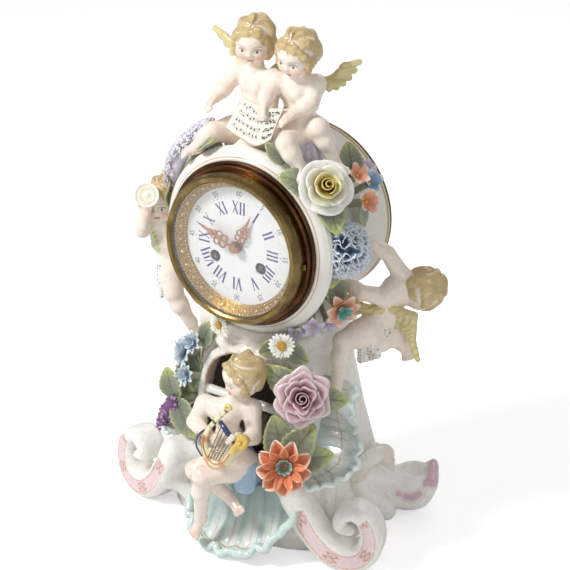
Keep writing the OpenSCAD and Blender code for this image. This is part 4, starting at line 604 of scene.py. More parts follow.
def model_wing(clay, root, middle, tip, trail):
    """Layered feathers that fan from the trail to the tip."""
    root, middle, tip = (np.asarray(v, float) for v in (root, middle, tip))
    span = unit(tip - root)
    trail = unit(np.asarray(trail, float) - (np.asarray(trail) @ span) * span * 0.6)
    normal = unit(np.cross(span, trail))
    clay.chain([root, middle, tip], [3.6, 3.2, 2.0], 1.2, "wing")
    for row, (count, length) in enumerate(((6, 11.5), (5, 7.5))):
        for i in range(count):
            t = (i + 0.5) / count
            start = (1 - t) ** 2 * root + 2 * t * (1 - t) * middle + t * t * tip
            way = unit(trail * (1.15 - t) + span * (0.25 + 1.1 * t))
            lift = normal * (1.1 * row - 0.5)
            clay.add(blade(start + lift, start + way * length * (0.75 + 0.35 * t) + lift * 0.4,
                2.9, 2.4, normal, 1.9), 0.6, "wing")


JOINT_NAMES = ("chest neck head chin shoulder_a elbow_a hand_a hip_a knee_a ankle_a toe_a "
    "shoulder_b elbow_b hand_b hip_b knee_b ankle_b toe_b").split()


FIGURE_STEP = 0.75


def finish_child(name, clay, p, head_axes, cloths):
    """Skins the clay, then paints skin, hair, wings and cloth on it."""
    points, faces = skinned(clay, FIGURE_STEP)
    skin, hair, wing = (clay.nearest(points, paint) for paint in ("skin", "hair", "wing"))
    warm = np.zeros(len(points))
    for keys, reach, strength in (("knee_a knee_b hand_a hand_b", 7, 0.35), ("elbow_a elbow_b", 5.5, 0.3),
            ("toe_a toe_b", 6, 0.45), ("ankle_a", 5, 0.3)):
        for key in keys.split():
            away = np.linalg.norm(points - p[key], axis=1)
            warm = np.maximum(warm, strength * np.exp(-(away / reach) ** 2))
    local = (points - p["head"]) @ head_axes.T / SKULL
    for side in (-1, 1):
        cheek = np.linalg.norm((local - [side * 0.45, 0.8, -0.38]) / [0.26, 0.4, 0.24], axis=1)
        warm = np.maximum(warm, 0.75 * np.exp(-cheek ** 2))
    strands = 0.5 + 0.5 * np.sin(local @ np.array([19.0, 23.0, 31.0]) + 2 * np.sin(local[:, 2] * 9))
    on_hair = smooth(skin - hair, -0.5, 0.7)
    on_wing = smooth(np.minimum(skin, hair) - wing, -0.3, 0.5)
    # the darker hair tone follows painted strands and also fills the creases between curls as painted shade
    layers = [(BLUSH, warm), (HAIR, on_hair),
        (HAIR_DARK, on_hair * (0.25 * strands + 0.5 * smooth(hair, -0.2, 1.4))), (WING, on_wing),
        (WING_DARK, on_wing * (0.25 + 0.5 * smooth(strands, 0.3, 1)))]
    rest = np.minimum(np.minimum(skin, hair), wing)
    sprig = np.sin(points[:, 0] * 1.35) * np.sin(points[:, 2] * 1.35 + 1) * np.sin(points[:, 1] * 1.2)
    for paint, hex_code, spots in cloths:
        mask = smooth(rest - clay.nearest(points, paint), -0.3, 0.4)
        layers.append((hex_code, mask))
        if spots:
            layers += [(spots[0], mask * smooth(sprig, 0.35, 0.6)),
                (spots[1], mask * smooth(-sprig, 0.45, 0.7))]
    face = np.where((np.minimum(hair, wing) > skin)[:, None], local, 9.0)
    clay_piece(name + "_modelled", [name], points, faces, figure_glaze,
        paint=coats(len(points), SKIN, *layers), face=face)


def child(node, hips, joints, front, look, seed, crown, wings, folds, cloths, **ways):
    """A child from its joints, the ways belly and face look, wings and folds of cloth."""
    hips = np.asarray(hips, float)
    p = {name: hips + np.asarray(v, float) for name, v in zip(JOINT_NAMES, np.reshape(joints, (-1, 3)))}
    p.update(hips=hips, **ways)
    clay = Clay()
    model_body(clay, p, front)
    axes = model_head(clay, p["head"], p["neck"], look, seed, crown)
    for root, middle, tip, trail in wings:
        model_wing(clay, hips + root, hips + middle, hips + tip, trail)
    for a, b, ra, rb, soft, paint in folds:
        clay.add(limb(hips + a, hips + b, ra, rb), soft, paint)
    finish_child(node, clay, p, axes, cloths)


# %% [markdown]
# The two children on top sit astride the drum and share a sheet of music.
# %% The left singer
child("putto_top_left", (-18.9, -11.8, 317.2), (-1, 2, 30, -2, 1, 45, -3, 0, 67.5, 0, -6, 58,
    -18, 2, 40, -21, -10, 29, -22, -25, 22, -8, -4, -2, -19, -28, 0, -29, -35, -12, -35, -40, -16,
    14, 0, 40, 18, -10, 22, 11, -22, 15, 7, -4, -2, 17, -24, 2, 5, -32, -7, -1, -35, -10),
    (-0.05, -1, 0), (0.3, -0.9, -0.38), 0.4, (0.05, -0.1, 1),
    [((-9, 8, 41), (-26, 15, 52), (-42, 16, 58), (-0.7, 0, -0.75)),
    ((7, 9, 41), (17, 17, 53), (17, 19, 66), (0.8, 0, -0.5))],
    [((0, 0, -4), (0, 0, -21.2), 10, 14, 3, "cloth")]
    + [((-9 + 4.5 * k, -12, 0), (-13 + 6.5 * k, -17, -14), 2.6, 3.4, 1.4, "cloth") for k in range(5)],
    [("cloth", "#EFECE9", ("#C98F86", "#B9C6A2"))], palm_a=(0.6, 0, -0.8), palm_b=(-0.3, 0.2, -1))

# %% The right singer
child("putto_top_right", (24.8, -14.2, 320.7), (-6, -4, 33, -5, -6, 46, -1, -10, 65.9, -7, -18, 55,
    -19, -10, 40, -19, -22, 33, -17, -30, 26, -5, -6, 5, 5, -32, 5, 16, -30, -12, 20, -36, -19,
    8, 0, 41, 9, -8, 28, 0, -24, 22, 6, 0, 5, 18, -10, 13, 27, -2, -13, 35, -3, -18),
    (-0.1, -1, 0), (-0.1, -0.9, -0.42), 2.1, (0.05, -0.3, 1),
    [((5, 7, 42), (13, 14, 38), (21, 17, 54), (0.6, 0, -0.8)),
    ((-8, 5, 42), (-13, 13, 46), (-15, 18, 56), (-0.8, 0, -0.6))],
    [((4, 0, 0), (0, 2.2, -24.7), 10, 14, 3, "cloth")]
    + [((3 * k, -13 + k, 1), (-3 + 5 * k, -19 + 2 * k, -18), 2.8, 3.4, 1.4, "cloth") for k in range(5)],
    [("cloth", "#D9D3E2", ("#C9C2D8", "#F2EFEA"))], palm_a=(0.5, 0, -0.8), palm_b=(-0.5, 0.2, -0.8))

# %% [markdown]
# The lyre player sits on the front of the base with the head bent over the strings.
# %% The lyre player
skirt = [(6 + 9 * math.cos(a), 2 - 12 * math.sin(a) * 0.6, -3) for a in (2.4 - 0.42 * k for k in range(6))]
child("putto_musician", (14.3, -78, 82), (-6, -6, 36, -1, -2, 51, 4, 2, 70, -3, -6, 58,
    -24, -8, 41, -28, -16, 28, -7, -24, 26, -9, -2, -3, -26, -17, -12, 0, -8, -32, 10, -12, -37,
    11, 2, 44, 19, -6, 26, 16, -23, 30, 6, 2, -5, -13, -26, -9, -20, -18, -52, -23, -22, -64),
    (-0.35, -0.9, 0.1), (-0.52, -0.76, -0.36), 4.0, (-0.1, -0.2, 1), [],
    [((0, 0, 0), (-2.3, 16, -22), 13, 13, 3, "cloth")]
    + [((x, y, z), (x + 5 - k, y - 2, z - 19), 3.2, 2.6, 1.3, "cloth") for k, (x, y, z) in enumerate(skirt)],
    [("cloth", "#A9C4DE", None)], palm_a=(0.2, 0.9, -0.1), palm_b=(-0.6, 0.3, 0.3))

# %% [markdown]
# Two more climb the sides: one reaches up to the flowers, one holds up a cymbal.
# %% The climbing child on the right
child("putto_right", (82, 4, 174), (10, 9, 32, 17, 15, 34, 26.5, 22, 34, 22, 26, 24,
    12, 14, 42, 2, 7, 61, -11, -3, 72, -4, -6, 2, -16, -22, -4, -19, -24, -44, -23, -24, -53,
    6, -1, 30, -8, -12, 34, -27, -12, 40, 3, 6, 0, 12, 12, -7, 18, 14, -15, 18, 17, -23),
    (-0.6, 0.75, -0.1), (-0.5, 0.62, -0.45), 5.2, (0.55, 0.25, 0.75),
    [((4, -3, 20), (-8, -6, 18), (-23, -9, 26), (0.1, 0, -1)),
    ((11, 2, 21), (27, 6, 18), (29, 4, -8), (-0.6, 0, -0.6))],
    [((-6 + 3.2 * k, -12 + 2 * k, 6 - 2 * k), (-5 + 4 * k, -13 + k, -20 + 2 * k), 2.6, 2.9, 1.4, "cloth")
    for k in range(4)] + [((-8, -8, 6), (8, -2, 2), 4, 4, 3, "cloth")],
    [("cloth", "#F0EDE8", ("#C4625A", "#8FA37A"))], palm_a=(-0.9, 0, -0.3), palm_b=(0, 0.9, -0.2),
    instep_a=(0.1, -1, 0.3), instep_b=(0.6, -0.6, 0.2))

# %% The climbing child on the left
child("putto_left", (-82, -24, 204), (-6, -6, 27, -6, -8, 37, -4, -8, 48, -4, -18, 42,
    -11, -17, 37, -13, -25, 24, -8, -27, 43, -2, -4, -4, 8, -14, -26, 20, -7, -52, 25, -4, -66,
    1, -1, 37, 9, 2, 44, 19, 6, 42, 4, 5, -4, 12, 10, -28, 22, 16, -48, 26, 16, -58),
    (-0.1, -1, 0), (0.05, -0.95, -0.25), 1.3, (-0.1, -0.2, 1),
    [((-10, 2, 30), (-18, 12, 34), (-22, 15, 48), (-0.7, 0.3, -0.6)),
    ((-2, 6, 30), (-3, 17, 35), (-1, 23, 47), (0.2, 0.8, -0.6))],
    [((-5 + 4.5 * k, -14 + k, -6), (-3 + 4 * k, -15 + 2 * k, -30), 2.7, 3.0, 1.4, "cloth") for k in range(4)]
    + [((-13, -10, 25), (-7, -14, 10), 4.6, 5.2, 2, "sash")],
    [("cloth", "#F0EDE8", ("#6F7FA8", "#C98F86")), ("sash", "#E4E8C0", ("#A9BC7C", "#F4F2EC"))],
    palm_a=(0, -1, 0), palm_b=(1, 0, 0), instep_a=(-0.7, -0.7, 0.2), instep_b=(-0.7, 0.2, 0.2))

# %% [markdown]
# ## The base
# A bulging, arched body on four scrolled feet. The body is a squarish oval that changes with
# height; each foot is a flat band that runs down, out and up into a volute.
# %% Base body
porcelain = enamel_paint("hand-painted glazed porcelain, base and flowers")
BASE_TOP, HALF_W, HALF_D, SQUARE = 172.0, 84.0, 60.0, 2.6
SLICES = np.array([(0, .95, 1), (.13, 1, 1), (.32, .93, 1), (.55, .76, .95), (.76, .65, .87),
    (.9, .58, .8), (1, .62, .8)])


def base_halves(z):
    z = np.clip(z / BASE_TOP, 0, 1)
    return (np.interp(z, SLICES[:, 0], SLICES[:, 1]) * HALF_W,
        np.interp(z, SLICES[:, 0], SLICES[:, 2]) * HALF_D)


def base_front(x, z, grow=0.0):
    """Y of the front wall at a place."""
    a, b = base_halves(np.asarray(z, float))
    return -(b + grow) * (1 - np.clip(np.abs(x) / (a + grow), 0, 0.999) ** SQUARE) ** (1 / SQUARE)


def base_field(shrink, z_low, z_high):
    def field(p):
        a, b = base_halves(p[:, 2])
        a, b = a - shrink, b - shrink
        ring = (np.abs(p[:, 0] / a) ** SQUARE + np.abs(p[:, 1] / b) ** SQUARE) ** (1 / SQUARE)
        side = (ring - 1) * np.minimum(a, b) * 0.9
        return np.maximum(side, np.maximum(z_low - p[:, 2], p[:, 2] - z_high))
    reach = np.array([HALF_W, HALF_D, 0]) - [shrink, shrink, 0]
    return field, -reach + [0, 0, z_low], reach + [0, 0, z_high]


def drum_radius(y):
    bead, waist, rim, front, rear = 72.0, 59.0, 68.0, -54.0, 40.0
    waist_y, neck_y = front + 0.42 * (rear - front), front + 16
    neck = bead - 8
    return np.where(y < neck_y, bead - 8 * ((y - front - 8) / 8) ** 2,
        np.where(y < waist_y, waist + (neck - waist) * ((waist_y - y) / (waist_y - neck_y)) ** 2,
        waist + (rim - waist) * ((y - waist_y) / (rear - waist_y)) ** 2))


def drum_field(grow):
    def field(p):
        around = np.hypot(p[:, 0], p[:, 2] - AXIS_Z) - drum_radius(np.clip(p[:, 1], -54, 40)) - grow
        return np.maximum(around, np.maximum(-54.6 - p[:, 1], p[:, 1] - 60))
    return field, np.array([-74, -55, 170.0]), np.array([74, 60, 318.0])


def arch_field(grow, y_back):
    """The arched opening, seen from the front, down to a depth."""
    def field(p):
        x, z = np.abs(p[:, 0]), p[:, 2]
        flat = np.maximum(x - 33 - grow, np.maximum(60 - grow - z, z - 118.7))
        round_top = np.hypot(p[:, 0], z - 118.7) - 33 - grow
        return np.maximum(np.minimum(flat, round_top), p[:, 1] - y_back)
    return field, np.array([-36, -80, 56.0]), np.array([36.0, y_back, 156])


def along(points, count):
    """A smooth run of points through control points (Catmull-Rom)."""
    c = np.asarray(points, float)
    c = np.vstack([2 * c[0] - c[1], c, 2 * c[-1] - c[-2]])
    t = np.linspace(0, len(c) - 3 - 1e-6, count)
    i = t.astype(int)
    f = (t - i)[:, None]
    a, b, d, e = (c[i + k] for k in range(4))
    return 0.5 * (2 * b + (d - a) * f + (2 * a - 5 * b + 4 * d - e) * f ** 2
        + (3 * b - a - 3 * d + e) * f ** 3)


def ridge(clay, flat_path, radius, soft, paint, count=40, y_grow=0.0):
    """A moulded ridge that lies on the front wall along a path of (x, z)."""
    path = along(flat_path, count)
    where = np.column_stack([path[:, 0], base_front(path[:, 0], path[:, 1], y_grow), path[:, 1]])
    ends = radius * np.sin(np.linspace(0.25, math.pi - 0.25, count)) ** 0.5
    clay.chain(where, ends, soft, paint)


def block(low, high):
    low, high = np.array(low, float), np.array(high, float)
    return lambda p: (np.abs(p - (low + high) / 2) - (high - low) / 2).max(axis=1), low, high


base = Clay()
base.add(base_field(0.0, 0.0, BASE_TOP), 3, "white")
base.add(lump((0, 0, 182), (52, 47, 24)), 9, "white")
base.add(limb((-40, -36, 166), (40, -36, 166), 9, 9), 8, "white")
arch_path = [(-36, 62), (-37, 90), (-36, 118), (-27, 142), (0, 154), (27, 142), (36, 118), (37, 90), (36, 62)]
ridge(base, arch_path, 4.6, 3, "pink", 60)
for side in (-1, 1):
    ridge(base, [(side * x, z) for x, z in ((41, 60), (44, 95), (44, 122), (33, 149), (12, 161), (0, 162))],
        1.7, 1.5, "gold", 50, 1)
# C-scrolls of the apron over the arch, and the ribs beside it
for side in (-1, 1):
    for half_path, radius, soft, paint, count, grow in (
            (((42, 130), (43, 147), (32, 158), (18, 156), (16, 146), (24, 141)), 3.6, 3, "white", 40, 2),
            (((41, 134), (41, 146), (31.5, 156), (19, 154.5), (18, 147.5)), 1.3, 1, "gold", 40, 5),
            (((44, 150), (52, 117), (56, 84)), 3.6, 4, "white", 30, 0),
            (((52, 132), (60, 96), (64, 60)), 3.6, 4, "white", 30, 0),
            (((60, 108), (68, 71), (72, 34)), 3.6, 4, "white", 30, 0)):
        ridge(base, [(side * x, z) for x, z in half_path], radius, soft, paint, count, grow)
base.add(base_field(7.0, 5.0, 160.0), 2.0, cut=True)
base.add(arch_field(0.0, -30), 2.0, cut=True)
base.add(block((-11, -21, 86), (11, -5, 210)), 0.5, cut=True)
base.add(drum_field(0.3), 0.8, cut=True)
base.add(limb((-36, -48.1, 113), (36, -48.1, 113), 3.6, 3.6), 2, "white")
BASE_STEP = 1.51
points, faces = skinned(base, BASE_STEP)
x, y, z = points.T
pooled = smooth(0.5 + 0.5 * np.sin(z * 0.16 + x * 0.05), 0.6, 1) * smooth(np.abs(x), 44, 60) * smooth(-y, -20,
    10)
edge = np.abs(arch_field(0.0, -30)[0](points) - 0.8)
# the inside of the hollow base, seen through the arch, is painted dark brown: painted shade
inside_shade = smooth(-base_field(5.6, 3.5, 161.0)[0](points), 0, 1.5) * (z < 168)
clay_piece("base_body_porcelain", ("base_body", "saddle"), points, faces, porcelain, paint=coats(
    len(points), "#F1EEE7", ("#EAE1D3", 0.7 * smooth(z, 128, 160) * smooth(-y, 20, 40)),
    ("#D3E4DF", 0.4 * pooled), ("#E3C4C2", smooth(-base.nearest(points, "pink"), -0.8, 0.1)),
    (GOLD, smooth(-base.nearest(points, "gold"), -0.35, 0.3) * 0.9),
    (GOLD, smooth(-edge, -0.9, -0.4) * (y < -44) * 0.7), ("#6F584C", 0.85 * inside_shade)))

# %% [markdown]
# ### Feet
# A front foot is a flat band bent to a scroll. Its outline is a table of distances in its own
# plane, which the clay and the painted panel read. A back foot is a broad lobed scoop.
# %% Scrolled front feet
FOOT_PATH = np.array([(0, .88), (.12, .63), (.27, .38), (.47, .19), (.7, .145), (.87, .25), (.93, .46),
    (.87, .66), (.72, .75), (.58, .68), (.56, .55), (.68, .52)]) * 66
FOOT_BAND = np.array([.15, .155, .16, .165, .16, .155, .14, .12, .1, .085, .07, .06]) * 66


def scroll_table():
    path = along(FOOT_PATH, 140)
    band = np.interp(np.linspace(0, 1, 140), np.linspace(0, 1, 12), FOOT_BAND)
    u, z = np.meshgrid(np.arange(-30, 100, 0.5), np.arange(-30, 90, 0.5), indexing="ij")
    best, which = np.full(u.shape, 99.0), np.zeros(u.shape, int)
    for i, (pu, pz) in enumerate(path):
        d = np.hypot(u - pu, z - pz) - band[i]
        closer = d < best
        best[closer], which[closer] = d[closer], i
    return best, which, band


def read_table(table, u, z):
    x, y = np.clip((u + 30) * 2, 0, 258.9), np.clip((z + 30) * 2, 0, 238.9)
    i, j = x.astype(int), y.astype(int)
    f, g = x - i, y - j
    return (table[i, j] * (1 - f) * (1 - g) + table[i + 1, j] * f * (1 - g)
        + table[i, j + 1] * (1 - f) * g + table[i + 1, j + 1] * f * g)


table, which, band = scroll_table()


def run_of(u, z):
    """The scroll's nearest point, 0 to 139, and the distance to its band."""
    i = which[np.clip(((u + 30) * 2).astype(int), 0, 259), np.clip(((z + 30) * 2).astype(int), 0, 239)]
    return i, read_table(table, u, z)


def foot_frame(side, y, degrees):
    """Where a foot leaves the body, its way out and the direction across it."""
    turn = math.radians(degrees)
    way = np.array([side * math.cos(turn), math.sin(turn), 0])
    return np.array([side * 53.8, y, 0]), way, np.array([-math.sin(turn), side * math.cos(turn), 0])


def skinned_foot(clay):
    clay.add((lambda p: p[:, 2], np.array([-140.0, -110, -12]), np.array([140.0, 110, 0])), 0.5, cut=True)
    return skinned(clay, 0.95)


def front_foot(node, side):
    root, way, across = foot_frame(side, -58.0, 18)
    width, r = 13.5, 8.0

    def field(p):
        q = p - root
        d, v = read_table(table, q @ way, q[:, 2]), np.abs(q @ across) - width
        return (np.hypot(np.maximum(d + r, 0), np.maximum(v + r, 0)) - r + np.minimum(np.maximum(d + r,
            v + r), 0))

    def panel(p):
        q = p - root
        i, d = run_of(q @ way, q[:, 2])
        return np.maximum(np.maximum(d + 0.52 * band[i], (np.abs(i / 139 - 0.36) - 0.3) * 90),
            width - 1.2 - np.abs(q @ across))
    low = np.minimum(root, root + way * 66) - [16, 16, 0]
    high = np.maximum(root, root + way * 66) + [16, 16, 66]
    clay = Clay().add((field, low - [0, 0, 2], high), 2, "white")
    clay.add(limb(root + [-side * 14, 12, 60], root + [0, 0, 52], 15, 9), 10, "white")
    clay.add(limb(root + way * 10 + [0, 0, 34], root + [-side * 12, 10, 14], 9, 9), 10, "white")
    clay.add((panel, low, high), 0.7, cut=True)
    points, faces = skinned_foot(clay)
    q = points - root
    i, d = run_of(q @ way, q[:, 2])
    share = d / band[i]
    on_side = smooth(np.abs(q @ across), width - 3.4, width - 2) * (np.abs(i / 139 - 0.36) < 0.3)
    line = smooth(-np.abs(share + 0.5), -0.06, -0.02) * on_side
    # small painted rings along the panel
    blot = np.hypot(((i % 26) / 26 - 0.5) * 3.4, (share + 0.8) * 3.4)
    clay_piece(node + "_scroll", [node], points, faces, porcelain, paint=coats(
        len(points), WHITE, ("#EBD3D6", on_side * smooth(-share, 0.47, 0.52)), ("#C99A6A", 0.75 * line),
        ("#C08A66", 0.8 * on_side * smooth(-np.abs(blot - 0.42), -0.2, -0.06))))


front_foot("foot_front_left", -1)
front_foot("foot_front_right", 1)

# %% Scooped back feet
SCOOP = np.array([(0, 47.5, 8.6, 39), (9.2, 30.4, 9.2, 36.4), (21.1, 17.2, 8.6, 33.8),
    (35.6, 11.2, 7.9, 36.4), (50.2, 17.2, 5.9, 39), (56.8, 30.4, 4, 33.8)])


def back_foot(node, side):
    (root, way, across), up = foot_frame(side, 39.6, 28), np.array([0, 0, 1.0])
    u, z, thick, half = along(SCOOP, 44).T
    half = half / 2 * (1 + 0.07 * np.sin(np.linspace(0, 1, 44) * 19))
    clay = Clay()
    for k in range(44):
        middle = root + way * u[k] + up * z[k]
        reach = across * (half[k] - thick[k] * 0.8)
        clay.add(limb(middle - reach, middle + reach, thick[k] * 0.86, thick[k] * 0.86), 3, "white")
    clay.add(limb(root + [-side * 16, -14, 44], root + [0, 0, 44], 15, 10), 10, "white")
    clay.add(limb(np.array([side * 74, 4, 50]), root + way * 26 + up * 20, 13, 12), 8, "white")
    clay.add(lump(root + way * 42 + up * 23, (19, 19, 15)), 5, "white")
    clay.add(lump(root + way * 40 + up * 44, (15, 13, 18)), 4, cut=True)
    # the lip and the S-shaped ridge that run up the base's side
    clay.chain(along([(side * x, y, z) for x, y, z in ((80, -12, 57), (83, -7, 66), (86, 6, 70), (87, 17, 66),
        (82, 26, 57), (78, 36, 44))], 26), np.linspace(3.6, 5.5, 26), 5, "lip")
    clay.chain(along([(side * x, y, z) for x, y, z in ((80, -12, 57), (80, -5, 40), (82, 17, 22),
        (84, 31, 6))], 24), np.linspace(4, 6, 24), 5, "white")
    inward = units(np.column_stack([-np.gradient(z), np.gradient(u)]))
    for s, lift, paint, r in ((-1, 0.9, "lip", 2.6), (1, 0.9, "lip", 2.6), (-0.35, 0.75, "white", 3.2),
            (0.38, 0.75, "white", 3.2)):
        path = [root + way * (u[k] + lift * thick[k] * inward[k,
            0]) + up * (z[k] + lift * thick[k] * inward[k, 1])
            + across * s * (half[k] - 2.5) for k in range(4, 44)]
        clay.chain(path, r * np.sin(np.linspace(0.5, 2.9, 40)) ** 0.4, 1.6, paint)
    end = root + way * u[-1] + up * (z[-1] + 1.5)
    clay.chain([end + across * half[-1] * s for s in (-0.9, -0.5, 0, 0.5, 0.9)], [3, 4, 3.4, 4, 3], 1.5,
        "lip")
    points, faces = skinned_foot(clay)
    lip = clay.nearest(points, "lip")
    clay_piece(node + "_scoop", [node], points, faces, porcelain, paint=coats(
        len(points), WHITE, ("#D8B2BD", smooth(-lip, -2.2, -0.9) * 0.85),
        (GOLD, smooth(-np.abs(lip - 2.6), -0.5, -0.1) * 0.3)))


back_foot("foot_back_left", -1)
back_foot("foot_back_right", 1)

# %% [markdown]
# ## Flowers
# Each petal is a thin sheet of paste, pressed out between the fingers and stuck on at its foot:
# a curved grid of points, made a closed shell. Stems are tubes, centres are turned.
# %% Sheets, tubes and turned forms


class Paste:
    """Closed sheets, tubes and turned forms gathered into one painted mesh."""

    def __init__(self):
        self.points, self.faces, self.paint = [], [], []

    def keep(self, points, faces, paint):
        """Adds a shell; its paint is a hex code or one colour for each point."""
        paint = linear(paint) if isinstance(paint, str) else paint
        start = sum(len(p) for p in self.points)
        self.points.append(points)
        self.paint.append(np.broadcast_to(paint, (len(points), 4)))
        self.faces += [[start + k for k in face] for face in faces]

    def sheet(self, grid, paint, thick):
        """A grid of points as a thin shell whose rim is thinner than its middle."""
        n, m = grid.shape[:2]
        normal = np.cross(np.gradient(grid, axis=0), np.gradient(grid, axis=1))
        normal /= np.linalg.norm(normal, axis=2, keepdims=True) + 1e-9
        half = np.full((n, m, 1), thick / 2)
        half[[0, -1]] *= 0.5
        half[:, [0, -1]] *= 0.5
        index = np.arange(n * m).reshape(n, m)
        top = np.stack([index[:-1, :-1], index[1:, :-1], index[1:, 1:], index[:-1, 1:]], -1).reshape(-1, 4)
        ring = np.concatenate([index[:-1, 0], index[-1, :-1], index[:0:-1, -1], index[0, :0:-1]])
        after = np.roll(ring, -1)
        rim = np.stack([after, ring, ring + n * m, after + n * m], 1)
        points = np.concatenate([(grid + normal * half).reshape(-1, 3),
            (grid - normal * half).reshape(-1, 3)])
        self.keep(points, np.concatenate([top, top[:, ::-1] + n * m, rim]).tolist(),
            paint if isinstance(paint, str) else np.tile(paint, (2, 1)))

    def rings(self, rings, first, last, paint):
        """Rings of points, counterclockwise seen from the last, with a pole at each end."""
        count, steps = rings.shape[:2]
        a = 1 + np.arange(steps)
        b, rise, end = np.roll(a, -1), steps * np.arange(count - 1)[:, None], 1 + count * steps
        faces = np.stack([rise + a, rise + b, rise + steps + b, rise + steps + a], -1).reshape(-1, 4).tolist()
        for p, q in zip(a.tolist(), b.tolist()):
            faces += [(0, q, p), (end, end - steps - 1 + p, end - steps - 1 + q)]
        self.keep(np.concatenate([[first], rings.reshape(-1, 3), [last]]), faces, paint)

    def tube(self, path, radii, paint, steps=12, flat=1.0):
        """A round or flattened tube along points, with a small dome at each end."""
        path, radii = np.asarray(path, float), np.asarray(radii, float) * np.ones(len(path))
        way = units(np.gradient(path, axis=0))
        side, rings = np.array([0.31, 0.52, 0.79]), []
        turn = np.linspace(0, 2 * math.pi, steps, endpoint=False)[:, None]
        for at, w, r in zip(path, way, radii):
            side = unit(side - (side @ w) * w)
            rings.append(at + r * (np.cos(turn) * side + flat * np.sin(turn) * np.cross(w, side)))
        if not isinstance(paint, str):
            paint = np.concatenate([paint[:1], np.repeat(paint, steps, axis=0), paint[-1:]])
        self.rings(np.array(rings), path[0] - way[0] * radii[0] * 0.6, path[-1] + way[-1] * radii[-1] * 0.6,
            paint)

    def turned(self, seat, profile, hexes, steps=16, lobes=0, dip=0.0):
        """A form of (radius, height) pairs from pole to pole, drawn into lobes."""
        turn = np.linspace(0, 2 * math.pi, steps, endpoint=False)
        rim = 1 - dip * (0.5 - 0.5 * np.cos(lobes * turn))
        rings = np.array([np.column_stack([r * rim * np.cos(turn), r * rim * np.sin(turn), np.full(steps, z)])
            for r, z in profile[1:-1]])
        shades = np.array([linear(h) for h in hexes])
        shades = shades[np.linspace(0, len(shades) - 1e-6, len(profile)).astype(int)]
        paint = np.concatenate([shades[:1], np.repeat(shades[1:-1], steps, axis=0), shades[-1:]])
        poles = seat(np.array([(0, 0, profile[0][1]), (0, 0, profile[-1][1])], float))
        self.rings(seat(rings.reshape(-1, 3)).reshape(rings.shape), poles[0], poles[1], paint)

    def piece(self, name, *nodes, material=None):
        made = mesh_piece(name, np.concatenate(self.points), self.faces, material or porcelain,
            {"paint": np.concatenate(self.paint)})
        if nodes:
            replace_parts(made, *nodes)
        print(name, len(self.faces), "faces")
        return made


def facing(place, way, turn=0.0):
    """Seats a form at a place, its own z along way."""
    way = unit(way)
    p, a = math.acos(way[2]), math.atan2(way[1], way[0])
    axes = np.array([(math.cos(p) * math.cos(a), math.cos(p) * math.sin(a), -math.sin(p)),
        (-math.sin(a), math.cos(a), 0), way])
    c, s = math.cos(turn), math.sin(turn)
    spin = np.array([(c, s, 0), (-s, c, 0), (0, 0, 1)])
    return lambda points: np.asarray(place, float) + points @ spin @ axes


def on_drum(s):
    return np.array([0, 0, AXIS_Z]) + 72.0 * np.array(s)


def on_base(s):
    return np.array([HALF_W, HALF_D, BASE_TOP]) * s


print("paste ready")

# %% [markdown]
# A rose's petal wraps round its heart, from a foot to a lip, given as radius and height, where it
# rolls back. An open petal, as of a daisy, lies along a line and is only cupped.
# %% Petals


def tones(u, v, deep, middle, edge, rim=0.8):
    """Paint from a deep foot, part colour and part painted shade, to a pale edge, with fine veins."""
    u, v = (t.ravel() for t in np.broadcast_arrays(u, v))
    return coats(len(u), middle, (deep, 0.9 * (1 - u) ** 1.4),
        (deep, 0.14 * (0.5 + 0.5 * np.sin(17 * v)) * (1 - u)),
        (edge, smooth(np.maximum(u, np.abs(v) ** 3 * (0.4 + 0.6 * u)), rim, 1.0) * 0.9))


def sheet_lines(n, m):
    """u from 0 to 1 down the rows of a sheet, v from -1 to 1 across them."""
    return np.linspace(0, 1, n)[:, None], np.linspace(-1, 1, m)[None, :]


def cupped(r, azimuth, span, foot, lip, roll, phase, ruffle=0.0, point=0.0, n=12, m=17):
    u, v = sheet_lines(n, m)
    rise = u * (1 - 0.26 * np.abs(v) ** 2.6)
    back = smooth(u, 0.72, 1.0) * (1 - 0.4 * np.abs(v))
    out = foot[0] + (lip[0] - foot[0]) * rise ** 0.75 + roll * back
    out = out * (1 + 0.07 * v + 0.035 * np.sin(3.1 * v + phase) * u)
    out = out + (ruffle * np.sin(6.5 * v + phase) + point * (1 - np.abs(v)) ** 1.5) * u ** 3
    high = foot[1] + (lip[1] - foot[1]) * rise ** 1.7 - 0.8 * roll * back
    high = high + 0.03 * np.sin(4.3 * v + 2 * phase) * u ** 2
    round_it = azimuth + span / 2 * v * (0.45 + 0.55 * np.sqrt(u))
    return r * np.stack([out * np.cos(round_it), out * np.sin(round_it), high], -1), u, v


def open_petal(length, width, tip, tilt, cup, azimuth, start=0.1, n=9, m=7):
    """tip: 0.5 for a round end to 1.1 for a pointed one."""
    u, v = sheet_lines(n, m)
    half = width / 2 * np.sin(math.pi * (0.1 + 0.88 * u) ** 0.8) ** tip
    x = length * (start + (1 - start) * u) * np.ones_like(v)
    y = v * half
    z = math.tan(tilt) * x + cup * width * (v ** 2) * np.sin(math.pi * np.clip(u, 0,
        1) * 0.9) - 0.09 * length * u ** 3
    c, s = math.cos(azimuth), math.sin(azimuth)
    return np.stack([c * x - s * y, s * x + c * y, z], -1), u, v


def stem(paste, place, way, r, depth, hex_code="#A9AE93"):
    way = unit(way)
    path = [np.asarray(place, float) - way * d for d in (r * 0.02, r * 0.25, depth * 0.5, depth)]
    paste.tube(path, [r * 0.2, r * 0.29, r * 0.3, r * 0.32], hex_code, 14)


print("petals ready")

